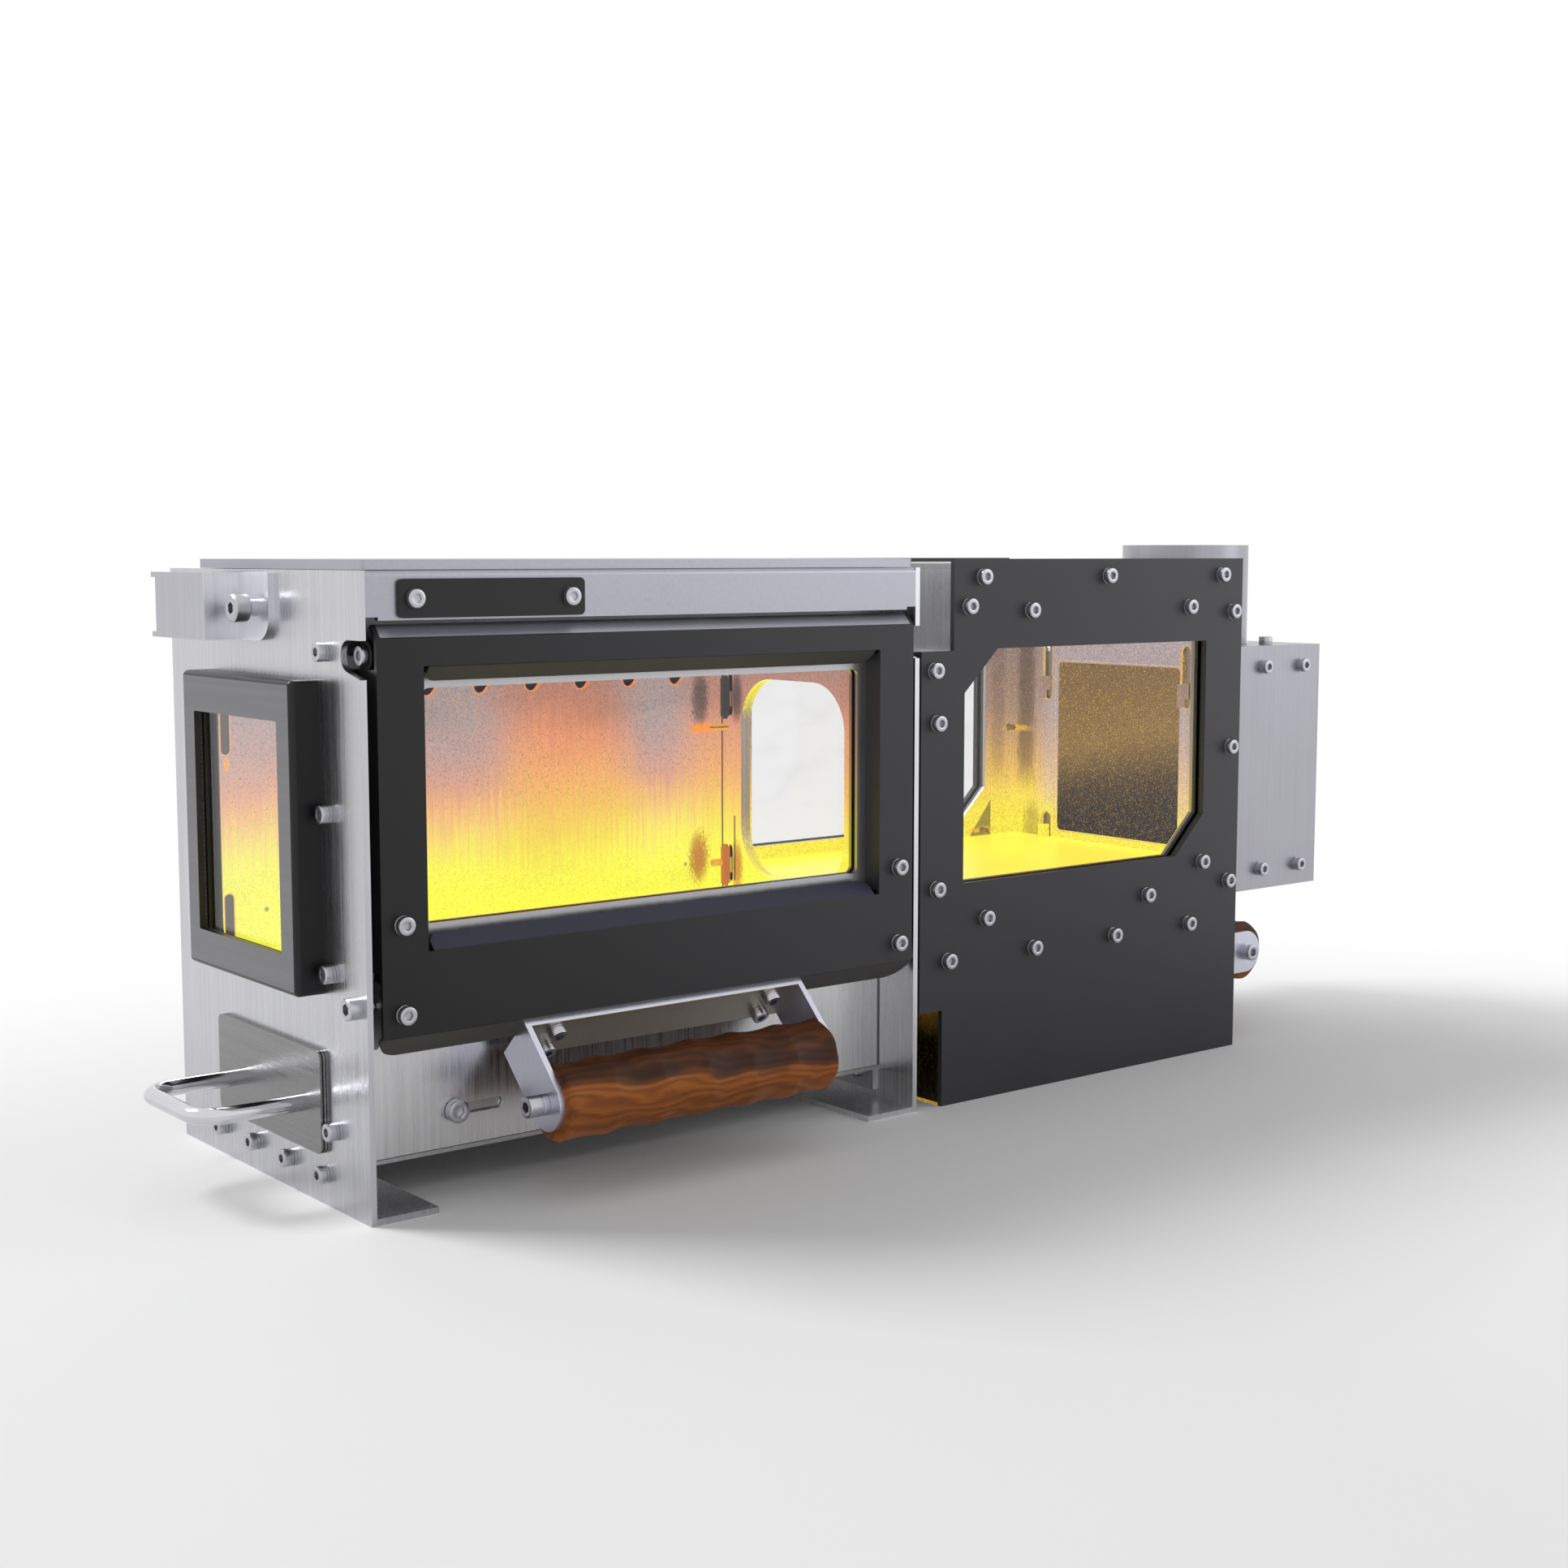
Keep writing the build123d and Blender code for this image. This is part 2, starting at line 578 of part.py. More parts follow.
def door_hinge_screws():
    """Shoulder screws in the frame's lugs that the door's ears turn on."""
    places = [((DOOR_X[0] - 0.2, *HINGE), (-1, 0, 0)), ((DOOR_X[1] + 0.2, *HINGE), (1, 0, 0))]
    return screws(HINGE_SCREW, LUG_X[0][1] - DOOR_X[0] + 0.2, places)


def door_catch_plunger():
    """Spring plunger in the left plate, its nose close to the door's catch tab."""
    nose = Pos(0, 0, -6.2) * Cylinder(1.8, 2.4)
    return aimed(screw(M6, 5.0) + nose, (LEFT_FACE, *PLUNGER), (-1, 0, 0))


# Door


def door_face():
    """Black folded face of the door, with lips round its window and ears for the hinge."""
    x = DOOR_X
    body = plate_xz(rect(x, DOOR_Z) - rect(*DOOR_WINDOW), (0, SHEET))
    body += lip(x, (0, DOOR_Z[0]), (DOOR_LIP_RUN, DOOR_Z[0] - DOOR_LIP_RUN), SHEET, 12.0)
    body += lip(x, (0, DOOR_Z[1]), (5.0, DOOR_Z[1] + 6.1), -SHEET)
    (left, right), (low, high) = DOOR_WINDOW
    inner = (left + 3.0, right - 3.0)
    body += lip(inner, (0, high), (7.0, high - 7.0), SHEET, 6.0)
    body += lip(inner, (0, low), (7.0, low + 7.0), -SHEET, 6.0)
    for jamb in ((left - SHEET, left), (right, right + SHEET)):
        body += block(jamb, (0, DOOR_FRAME_Y[0]), (low + 2.0, high - 2.0))
    ear = rect((0, 16.0), (112.0, 246.0)) + Pos(*HINGE) * Circle(NOTCH_RADIUS)
    ear -= Pos(*HINGE) * Circle(EAR_HOLE_RADIUS)
    for side in ((x[0], x[0] + SHEET), (x[1] - SHEET, x[1])):
        body += plate_yz(ear, side)
    body = drilled(body, M5, 16.0, door_places())
    return drilled_handle(body, DOOR_HANDLE)


def door_frame():
    """Steel frame behind the face that carries the glass, with the catch tab at its lower left."""
    outer = ((7.0, 313.6), (87.0, 243.0))
    body = plate_xz(rect(*outer) - rect(*DOOR_GLASS_OPENING, 3.0), DOOR_FRAME_Y)
    for x in ((7.0, 9.0), (311.6, 313.6)):
        body += block(x, (SHEET, DOOR_FRAME_Y[0]), (112.0, 241.0))
    body += block((20.0, 300.0), (SHEET, DOOR_FRAME_Y[0]), (87.0, 89.0))
    tab = Polygon(*CATCH_TAB, align=None)
    tab = fillet(tab.vertices().group_by(Axis.Y)[-1], 3.0) - Pos(*PLUNGER) * Circle(CATCH_HOLE_RADIUS)
    body += plate_yz(tab, (DOOR_X[0], DOOR_X[0] + SHEET))
    body += block((DOOR_X[0], 9.0), DOOR_FRAME_Y, (87.0, 104.0))
    return drilled(body, M5, 16.0, door_places())


def door_glass():
    return block((28.5, 292.5), (DOOR_FRAME_Y[1], DOOR_FRAME_Y[1] + GLASS_THICKNESS), (126.0, 240.5))


def door_glass_retainer():
    """Tray behind the glass: its rim stands on the door frame and its face carries the seal."""
    x, z = (10.0, 310.0), SEAL_OUTER[1]
    front = DOOR_FRAME_Y[1] + GLASS_THICKNESS
    body = plate_xz(rect(x, z) - rect(*DOOR_GLASS_OPENING, 3.0), (front, SEAL_Y[0]))
    rim = rect(x, z) - rect(grown(x, -SHEET), grown(z, -SHEET))
    return body + plate_xz(rim, (DOOR_FRAME_Y[1], front))


def door_seal():
    return plate_xz(rect(*SEAL_OUTER, 6.0) - rect(*FRAME_OPENING, 6.0), SEAL_Y)


def door_screws():
    """The four face screws, the four web screws and the two grip bolts of the door."""
    return screws(M5, 16.0, door_places()) + handle_screws(DOOR_HANDLE, 9.0)


def door_handle_backing():
    """Bar behind the door's lower lip that the handle is screwed into."""
    half, width, depth = BACKING_BAR
    bar = block((-half, half), (-width, width), depth)
    return DOOR_HANDLE.location * drilled(bar, M5, 9.0, bracket_places())


# Handles, made in a frame with X along the grip and Z away from what carries them


def handle_bracket(plane):
    """Folded bracket: a web and two cheeks with round ends."""
    half = BRACKET_LENGTH / 2
    width = grown((0, 0), BRACKET_WIDTH / 2)
    body = block((-half, half), width, (0, PLATE))
    cheek = rect(width, (0, GRIP_REACH)) + Pos(0, GRIP_REACH) * Circle(BRACKET_WIDTH / 2)
    for x in ((-half, -half + PLATE), (half - PLATE, half)):
        body += plate_yz(cheek, x)
    body = drilled(body, M5, 9.0, bracket_places())
    return plane.location * drilled(body, M6, 22.0, grip_places())


def handle_grip(plane):
    """Turned wooden grip with a gentle wave along it."""
    half, step = GRIP_LENGTH / 2, (GRIP_LENGTH - 4.0) / GRIP_LOBES
    start = 2.0 - half
    path = Polyline((-half, 0), (-half, GRIP_WAIST - 2.0), (start, GRIP_WAIST))
    for lobe in range(GRIP_LOBES):
        x = start + lobe * step
        path += ThreePointArc((x, GRIP_WAIST), (x + step / 2, GRIP_RADIUS), (x + step, GRIP_WAIST))
    path += Polyline((half - 2.0, GRIP_WAIST), (half, GRIP_WAIST - 2.0), (half, 0), (-half, 0))
    body = Pos(0, 0, GRIP_REACH) * revolve(make_face(path), Axis.X)
    return plane.location * drilled(body, M6, 22.0, grip_places())


def handle_screws(plane, length):
    group = screws(M5, length, bracket_places()) + screws(M6, 22.0, grip_places())
    return [plane.location * one for one in group]


def drilled_handle(part, plane):
    """The part behind a handle, drilled for its web screws."""
    shank = Pos(0, 0, -4.5) * Cylinder(M5.shank / 2, 9.0)
    return part - [plane.location * aimed(shank, *place) for place in bracket_places()]


# Parts that lift or slide


def hot_plate():
    """Lift-off plate with a rim that drops into the opening of the top plate."""
    body = block(*LID)
    body = fillet(body.edges().filter_by(Axis.Z), 2.0)
    outer = [grown(span, -LID_RIM_GAP) for span in LID_OPENING]
    inner = [grown(span, -SHEET) for span in outer]
    return body + plate_xy(rect(*outer, 6.0) - rect(*inner, 4.0), (LID_RIM_BOTTOM, LID[2][0]))


def air_slide_plate():
    """Sliding strip whose windows uncover the air holes of the front panel."""
    strip = rect((40.0, 245.0), grown((AIR_Z, AIR_Z), 10.0))
    windows = [Pos(x - AIR_TRAVEL, AIR_Z) * RectangleRounded(*AIR_HOLE, 2.0) for x in AIR_HOLES_X]
    body = plate_xz(strip - windows, (30.4, 32.4))
    return drilled(body, KNOB_SCREW, 4.8, [((AIR_KNOB_X, 27.6, AIR_Z), (0, -1, 0))])


def air_slide_knob():
    return aimed(screw(KNOB_SCREW, 4.8), (AIR_KNOB_X, 27.6, AIR_Z), (0, -1, 0))


def tray(x, y, z):
    """Open sheet tray from its outer ranges."""
    inner = (grown(x, -TRAY_WALL), grown(y, -TRAY_WALL), (z[0] + TRAY_WALL, z[1] + 1))
    return block(x, y, z) - block(*inner)


def ash_drawer_front():
    return plate_yz(rect(ASH_FRONT[1], ASH_FRONT[2], 4.0), ASH_FRONT[0])


def ash_drawer_tray():
    return tray(*ASH_TRAY)


def ash_drawer_handle():
    """Round rod bent to a U, welded to the drawer front."""
    near, far = ASH_HANDLE_Y
    start, reach, z = ASH_FRONT[0][0], ASH_HANDLE_REACH, ASH_HANDLE_Z
    corners = ((start, near, z), (reach, near, z), (reach, far, z), (start, far, z))
    path = FilletPolyline(*corners, radius=ASH_HANDLE_BEND)
    section = Plane(origin=corners[0], z_dir=(-1, 0, 0)) * Circle(ASH_HANDLE_ROD)
    return sweep(section, path=path)


def lower_drawer_front():
    body = plate_yz(rect(LOWER_FRONT[1], LOWER_FRONT[2], 3.0), LOWER_FRONT[0])
    return drilled_handle(body, LOWER_DRAWER_HANDLE)


def lower_drawer_tray():
    return drilled_handle(tray(*LOWER_TRAY), LOWER_DRAWER_HANDLE)


# Middle section


def mid_panel_outline():
    """Black panel: stepped back at its upper left and at its lower left foot."""
    return Polygon(
        (MID_LEFT, MID_FOOT_Z), (MID_LEFT, MID_STEP_Z), (MID_STEP_X, MID_STEP_Z), (MID_STEP_X, MID_TOP),
        (MID_RIGHT, MID_TOP), (MID_RIGHT, 0), (MID_FOOT_X, 0), (MID_FOOT_X, MID_FOOT_Z),
        align=None,
    )


def mid_panel(front):
    y = (0, PLATE) if front else (DEPTH - PLATE, DEPTH)
    body = plate_xz(mid_panel_outline() - window_sketch(), y)
    return drilled(body, M5, 13.0, panel_places(front))


def mid_inner_wall(front):
    """Steel wall inside the glass, set off from the black panel."""
    left, step, right = MID_LEFT + SHEET, MID_STEP_X + SHEET, MID_RIGHT - PLATE
    outline = Polygon(
        (left, 70.0), (left, MID_STEP_Z - SHEET), (step, MID_STEP_Z - SHEET), (step, INNER_TOP),
        (right, INNER_TOP), (right, 70.0), align=None,
    )
    y = INNER_WALL_Y if front else (DEPTH - INNER_WALL_Y[1], DEPTH - INNER_WALL_Y[0])
    body = plate_xz(outline - window_sketch(), y)
    return drilled(body, M5, 13.0, panel_places(front))


def chamber_window_rings():
    """Black rings that hold each glass between its panel and the inner wall."""
    wall = window_sketch(WINDOW_RING) - window_sketch(WINDOW_REBATE)
    stop = window_sketch(WINDOW_RING) - window_sketch()
    rings = []
    for depth, seat, back in ((3.0, 8.0, 10.5), (197.0, 192.0, 189.5)):
        rings.append(plate_xz(wall, sorted((depth, seat))) + plate_xz(stop, sorted((seat, back))))
    return rings


def chamber_glass(front):
    y = (4.0, 8.0) if front else (DEPTH - 8.0, DEPTH - 4.0)
    return plate_xz(window_sketch(WINDOW_REBATE - 0.3), y)


def standoffs():
    """Tubes round the panel screws, and four short ones behind the liner."""
    group = []
    tube = Circle(STANDOFF_RADIUS) - Circle(M5.shank / 2)
    for x, z in PANEL_SCREWS:
        for y in ((PLATE, INNER_WALL_Y[0]), (DEPTH - INNER_WALL_Y[0], DEPTH - PLATE)):
            group.append(plate_xz(Pos(x, z) * tube, y))
    for x, z in LINER_SCREWS:
        group.append(plate_xz(Pos(x, z) * tube, (LINER_Y[1], REAR_Y[0])))
    return group


def panel_screws():
    return screws(M5, 13.0, panel_places(True) + panel_places(False))


def hook(x, y, z, way):
    """Hook plate that reaches through a slot and drops behind the sheet; x is its root."""
    back, tip = (x + way * reach for reach in HOOK_REACH)
    across, top = grown((y, y), HOOK_HALF), z + HOOK_ARM
    arm = block(sorted((x, tip)), across, (z, top))
    return arm + block(sorted((back, tip)), across, (z - HOOK_DROP, top))


def chamber_left_wall():
    """Folded wall towards the fire section, with the passage and four hooks."""
    y = (PLATE, DEPTH - PLATE)
    body = block((MID_STEP_X, MID_STEP_X + SHEET), y, (MID_STEP_Z - SHEET, INNER_TOP))
    body += block((MID_LEFT, MID_STEP_X + SHEET), y, (MID_STEP_Z - SHEET, MID_STEP_Z))
    body += block((MID_LEFT, MID_LEFT + SHEET), y, (MID_FOOT_Z, MID_STEP_Z))
    body += block((MID_LEFT, MID_FOOT_X + SHEET), y, (MID_FOOT_Z, MID_FOOT_Z + SHEET))
    body += block((MID_FOOT_X, MID_FOOT_X + SHEET), y, (0, MID_FOOT_Z + SHEET))
    body -= plate_yz(passage_sketch(), grown((MID_LEFT, MID_LEFT + SHEET), 1.0))
    for column in HOOK_Y:
        for slot in HOOK_SLOTS_Z:
            body += hook(MID_LEFT, column, slot[0] + 6.0, -1)
    return body


def chamber_right_wall():
    """Wall towards the flue box, with the flue hole, hook slots and the lower drawer's opening."""
    outline = rect((PLATE, DEPTH - PLATE), (0, INNER_TOP)) - rect(*FLUE_HOLE, 3.0)
    outline -= rect(*LOWER_OPENING, 3.0)
    outline -= hook_slots(FLUE_HOOK_Y)
    return plate_yz(outline, (MID_RIGHT - PLATE, MID_RIGHT))


def chamber_top():
    return block((MID_STEP_X, MID_RIGHT), (PLATE, DEPTH - PLATE), (INNER_TOP, INNER_TOP + PLATE))


def chamber_floor():
    """Floor of the middle section, notched where the hooks of the flue box come in."""
    x, y = (MID_LEFT + SHEET, MID_RIGHT - PLATE), (INNER_WALL_Y[1], DEPTH - INNER_WALL_Y[1])
    body = block(x, y, FLOOR_Z)
    for edge in ((x[0], x[0] + SHEET), (x[1] - SHEET, x[1])):
        body += block(edge, y, (96.0, FLOOR_Z[0]))
    for column in FLUE_HOOK_Y:
        body -= block((x[1] - 8.0, x[1]), grown((column, column), 4.0), (96.0, FLOOR_Z[1]))
    return body


def chamber_base():
    return block((MID_FOOT_X + SHEET, MID_RIGHT - PLATE), (PLATE, DEPTH - PLATE), MID_BASE_Z)


# Flue box


def flue_cheek(front):
    """Side of the flue box, with two hooks that hang in the middle section's slots."""
    y = (FLUE_Y[0], FLUE_Y[0] + PLATE) if front else (FLUE_Y[1] - PLATE, FLUE_Y[1])
    body = block(FLUE_X, y, FLUE_Z)
    for slot in HOOK_SLOTS_Z:
        body += hook(FLUE_X[0], sum(y) / 2, slot[0] + 6.0, -1)
    return drilled(body, M5, 8.0, flue_places())


def flue_shell():
    """Folded top, end and bottom of the flue box with the flanges that the cheeks bolt to."""
    x, y, z = FLUE_X, grown(FLUE_Y, -PLATE), FLUE_Z
    body = block(x, y, (z[1] - PLATE, z[1])) + block(x, y, (z[0], z[0] + PLATE))
    body += block((x[1] - PLATE, x[1]), y, z)
    for flange in ((y[0], y[0] + SHEET), (y[1] - SHEET, y[1])):
        for height in ((z[0], z[0] + 22.0), (z[1] - 22.0, z[1])):
            body += block(x, flange, height)
    body -= Pos(*COLLAR_CENTRE, z[1]) * Cylinder(COLLAR_RADIUS, 20.0)
    body = drilled(body, M5, 8.0, collar_places())
    return drilled(body, M5, 8.0, flue_places())


def flue_collar():
    """Round collar with a slim neck, on a plate screwed up under the top of the flue box."""
    seat, bore = FLUE_Z[1] - PLATE, Circle(COLLAR_RADIUS - COLLAR_WALL)
    neck_radius, neck_top = COLLAR_NECK
    body = plate_xy(Circle(COLLAR_RADIUS) - bore, (neck_top, COLLAR_TOP))
    body += plate_xy(Circle(neck_radius) - bore, (seat - PLATE, neck_top))
    body += plate_xy(Rectangle(*COLLAR_SEAT) - bore, (seat - PLATE, seat))
    return drilled(Pos(*COLLAR_CENTRE) * body, M5, 8.0, collar_places())


def flue_screws():
    return screws(M5, 8.0, flue_places() + collar_places())


NODES = {
    "left_end_plate": left_end_plate,
    "right_end_plate": right_end_plate,
    "top_plate": top_plate,
    "front_frame": front_frame,
    "lower_front_panel": lower_front_panel,
    "belly_plate": belly_plate,
    "rear_wall": rear_wall,
    "rear_liner": rear_liner,
    "fire_grate": fire_grate,
    "air_slide_guides": air_slide_guides,
    "drawer_rails": drawer_rails,
    "side_window_cover": side_window_cover,
    "side_window_retainer": side_window_retainer,
    "side_window_glass": side_window_glass,
    "window_gaskets": window_gaskets,
    "nameplate": nameplate,
    "hanger_bracket": hanger_bracket,
    "hanging_stud": hanging_stud,
    "body_screws": body_screws,
    "door_hinge_screws": door_hinge_screws,
    "door_catch_plunger": door_catch_plunger,
    "door_face": door_face,
    "door_frame": door_frame,
    "door_glass": door_glass,
    "door_glass_retainer": door_glass_retainer,
    "door_seal": door_seal,
    "door_screws": door_screws,
    "door_handle_backing": door_handle_backing,
    "door_handle_bracket": lambda: handle_bracket(DOOR_HANDLE),
    "door_handle_grip": lambda: handle_grip(DOOR_HANDLE),
    "hot_plate": hot_plate,
    "air_slide_plate": air_slide_plate,
    "air_slide_knob": air_slide_knob,
    "ash_drawer_front": ash_drawer_front,
    "ash_drawer_tray": ash_drawer_tray,
    "ash_drawer_handle": ash_drawer_handle,
    "lower_drawer_front": lower_drawer_front,
    "lower_drawer_tray": lower_drawer_tray,
    "lower_drawer_bracket": lambda: handle_bracket(LOWER_DRAWER_HANDLE),
    "lower_drawer_grip": lambda: handle_grip(LOWER_DRAWER_HANDLE),
    "lower_drawer_screws": lambda: handle_screws(LOWER_DRAWER_HANDLE, 7.5),
    "chamber_front_panel": lambda: mid_panel(True),
    "chamber_rear_panel": lambda: mid_panel(False),
    "chamber_front_inner_wall": lambda: mid_inner_wall(True),
    "chamber_rear_inner_wall": lambda: mid_inner_wall(False),
    "chamber_window_rings": chamber_window_rings,
    "chamber_front_glass": lambda: chamber_glass(True),
    "chamber_rear_glass": lambda: chamber_glass(False),
    "standoffs": standoffs,
    "panel_screws": panel_screws,
    "chamber_left_wall": chamber_left_wall,
    "chamber_right_wall": chamber_right_wall,
    "chamber_top": chamber_top,
    "chamber_floor": chamber_floor,
    "chamber_base": chamber_base,
    "flue_front_cheek": lambda: flue_cheek(True),
    "flue_rear_cheek": lambda: flue_cheek(False),
    "flue_shell": flue_shell,
    "flue_collar": flue_collar,
    "flue_screws": flue_screws,
}


def save(name, shape):
    """Write one node, moved so that the origin is under the middle of the stove."""
    solids = shape if isinstance(shape, list) else [shape]
    solids = [solid for part in solids for solid in part.solids()]
    group = Compound(solids) if len(solids) > 1 else solids[0]
    middle = Pos(-sum(FOOTPRINT_X) / 2, -sum(FOOTPRINT_Y) / 2, 0)
    export_step(middle * group, f"parts/{name}.step")


os.makedirs("parts", exist_ok=True)
for node, build in NODES.items():
    save(node, build())
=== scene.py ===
"""Finishes, screws, wooden grips and a plain studio for a camping pellet stove."""

import json
import math

import bmesh
import bpy
import numpy as np
from bpy.props import FloatProperty, FloatVectorProperty, IntProperty, PointerProperty
from mathutils import Matrix, Vector

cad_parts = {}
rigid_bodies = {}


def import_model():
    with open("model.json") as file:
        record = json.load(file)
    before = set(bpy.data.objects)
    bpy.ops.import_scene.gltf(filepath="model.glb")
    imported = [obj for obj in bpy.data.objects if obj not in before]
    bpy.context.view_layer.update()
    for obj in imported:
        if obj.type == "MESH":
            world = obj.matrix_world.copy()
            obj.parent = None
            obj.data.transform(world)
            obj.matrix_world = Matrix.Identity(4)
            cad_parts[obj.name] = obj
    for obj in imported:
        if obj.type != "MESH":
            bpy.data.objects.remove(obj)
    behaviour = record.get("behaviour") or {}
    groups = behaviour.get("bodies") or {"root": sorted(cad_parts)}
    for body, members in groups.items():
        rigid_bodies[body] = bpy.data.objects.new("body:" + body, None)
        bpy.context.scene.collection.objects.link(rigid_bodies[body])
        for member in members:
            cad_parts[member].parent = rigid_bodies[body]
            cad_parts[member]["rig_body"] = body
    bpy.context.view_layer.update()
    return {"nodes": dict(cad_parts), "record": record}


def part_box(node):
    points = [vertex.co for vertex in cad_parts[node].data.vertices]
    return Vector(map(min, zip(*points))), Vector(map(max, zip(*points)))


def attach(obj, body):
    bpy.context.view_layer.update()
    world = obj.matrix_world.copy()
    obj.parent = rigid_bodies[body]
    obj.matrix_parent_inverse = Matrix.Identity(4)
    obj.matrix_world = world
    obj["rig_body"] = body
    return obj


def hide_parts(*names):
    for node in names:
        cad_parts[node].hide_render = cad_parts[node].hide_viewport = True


bl_info = {
    "name": "Camping pellet stove",
    "version": (1, 0, 0),
    "blender": (4, 5, 0),
    "location": "View3D > Sidebar > Stove",
    "description": "Finishes, screws, wooden grips and a plain studio for a camping pellet stove",
    "category": "Add Mesh",
}

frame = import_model()
NODES = frame["nodes"]
SLOTS = {row["node"]: row["material_slot"] for row in frame["record"]["subparts"]}

MM = 0.001
PLATE = 3.0
# Front lower left corner of the fire section, on the inner face of its left end plate
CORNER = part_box("left_end_plate")[0] + Vector((PLATE * MM, 0, 0))


def linear(code):
    """Linear colour of six hexadecimal digits."""
    parts = [int(code[i : i + 2], 16) / 255 for i in (0, 2, 4)]
    return tuple(c / 12.92 if c <= 0.04045 else ((c + 0.055) / 1.055) ** 2.4 for c in parts)


# Node trees


class Value:
    """A number socket of a node tree on which arithmetic can be written."""

    def __init__(self, graph, socket):
        self.graph = graph
        self.socket = socket

    def math(self, operation, *others):
        inputs = dict(enumerate((self, *others)))
        return self.graph.add("ShaderNodeMath", inputs, operation=operation)

    def __add__(self, other):
        return self.math("ADD", other)

    def __sub__(self, other):
        return self.math("SUBTRACT", other)

    def __rsub__(self, other):
        return self.math("MULTIPLY_ADD", -1.0, other)

    def __mul__(self, other):
        return self.math("MULTIPLY", other)

    def __truediv__(self, other):
        return self.math("DIVIDE", other)

    def __gt__(self, other):
        return self.math("GREATER_THAN", other)

    def __lt__(self, other):
        return self.math("LESS_THAN", other)

    __radd__ = __add__
    __rmul__ = __mul__

    def either(self, other):
        """The larger of two numbers: 1 where either of two masks is 1."""
        return self.math("MAXIMUM", other)

    def within(self, low, high):
        """1 between two bounds and 0 outside them."""
        return (self > low) * (self < high)

    def ease(self, low, high):
        """Rises smoothly from 0 at low to 1 at high."""
        inputs = {"Value": self, "From Min": low, "From Max": high}
        return self.graph.add("ShaderNodeMapRange", inputs, interpolation_type="SMOOTHSTEP")


class Graph:
    """A node tree that is filled through one method."""

    def __init__(self, tree):
        self.tree = tree
        tree.nodes.clear()

    def add(self, kind, inputs=None, output=0, **settings):
        """Adds a node: its settings first, then what goes into its sockets; gives one output."""
        node = self.tree.nodes.new(kind)
        for name, value in settings.items():
            if name == "stops":
                self.fill_ramp(node.color_ramp, value)
            elif name == "items":
                for _ in range(value - len(node.index_switch_items)):
                    node.index_switch_items.new()
            else:
                setattr(node, name, value)
        for name, value in (inputs or {}).items():
            if isinstance(value, Value):
                self.tree.links.new(value.socket, node.inputs[name])
            else:
                node.inputs[name].default_value = value
        return Value(self, node.outputs[output])

    def close(self, kind, value):
        """Adds the tree's output node, fed by a value."""
        node = self.tree.nodes.new(kind)
        self.tree.links.new(value.socket, node.inputs[0])
        return node

    def vector(self, operation, one, other, output=0):
        return self.add("ShaderNodeVectorMath", {0: one, 1: other}, output, operation=operation)

    def scaled(self, vector, strength):
        """A vector or colour times a number."""
        inputs = {0: vector, "Scale": strength}
        return self.add("ShaderNodeVectorMath", inputs, operation="SCALE")

    def axes(self, vector):
        """The X, Y and Z of a vector."""
        return [self.add("ShaderNodeSeparateXYZ", {0: vector}, axis) for axis in range(3)]

    @staticmethod
    def fill_ramp(ramp, stops):
        while len(ramp.elements) < len(stops):
            ramp.elements.new(1.0)
        for element, (position, colour) in zip(ramp.elements, stops):
            element.position = position
            element.color = (*colour, 1.0)


class Finish(Graph):
    """A material: one Principled shader and the nodes that feed it."""

    def __init__(self, name, **constants):
        self.material = bpy.data.materials.new(name)
        self.material.use_nodes = True
        super().__init__(self.material.node_tree)
        self.shader = self.tree.nodes.new("ShaderNodeBsdfPrincipled")
        self.output = self.close("ShaderNodeOutputMaterial", Value(self, self.shader.outputs[0]))
        self.set(**constants)
        point = self.add("ShaderNodeTexCoord", output="Object")
        self.point = self.scaled(self.vector("SUBTRACT", point, tuple(CORNER)), 1 / MM)
        self.x, self.y, self.z = self.axes(self.point)
        self.slant = self.y + self.z

    def set(self, **values):
        """Sets or links the shader's own sockets; an underscore stands for a space."""
        for name, value in values.items():
            socket = self.shader.inputs[name.replace("_", " ")]
            if isinstance(value, Value):
                self.tree.links.new(value.socket, socket)
            elif hasattr(value, "__len__") and len(value) == 3:
                socket.default_value = (*value, 1.0)
            else:
                socket.default_value = value

    def noise(self, size, detail=2.0, point=None):
        """Noise round 0, from its grain size in millimetres: one number, or one for each axis."""
        sizes = size if isinstance(size, tuple) else (size,) * 3
        point = self.vector("MULTIPLY", point or self.point, tuple(1 / s for s in sizes))
        inputs = {"Vector": point, "Scale": 1.0, "Detail": detail}
        return self.add("ShaderNodeTexNoise", inputs) - 0.5

    def mix(self, factor, one, other):
        one, other = (c if isinstance(c, Value) else (*c, 1.0) for c in (one, other))
        inputs = {0: factor, 6: one, 7: other}
        return self.add("ShaderNodeMix", inputs, 2, data_type="RGBA", clamp_factor=True)

    def over(self, colour, *layers):
        """Lays colours over a colour, from rows of mask and colour code."""
        for mask, code in layers:
            colour = self.mix(mask, colour, linear(code))
        return colour

    def inside(self, *ranges):
        """1 within ranges along X, Y, Z and their slant Y + Z, of which None leaves one open."""
        places = zip((self.x, self.y, self.z, self.slant), ranges)
        masks = [place.within(*bounds) for place, bounds in places if bounds]
        return math.prod(masks[1:], start=masks[0])

    def ramp(self, height, stops):
        """Colour by a height in millimetres, from rows of height and colour code."""
        low, high = stops[0][0], stops[-1][0]
        rows = [((at - low) / (high - low), linear(code)) for at, code in stops]
        share = (height - low) / (high - low)
        return self.add("ShaderNodeValToRGB", {0: share}, stops=rows)

    def bump(self, height, depth):
        """A normal from a height that swings by a depth in millimetres."""
        inputs = {"Height": height, "Distance": depth * MM, "Strength": 1.0}
        self.set(Normal=self.add("ShaderNodeBump", inputs))


# Firelight

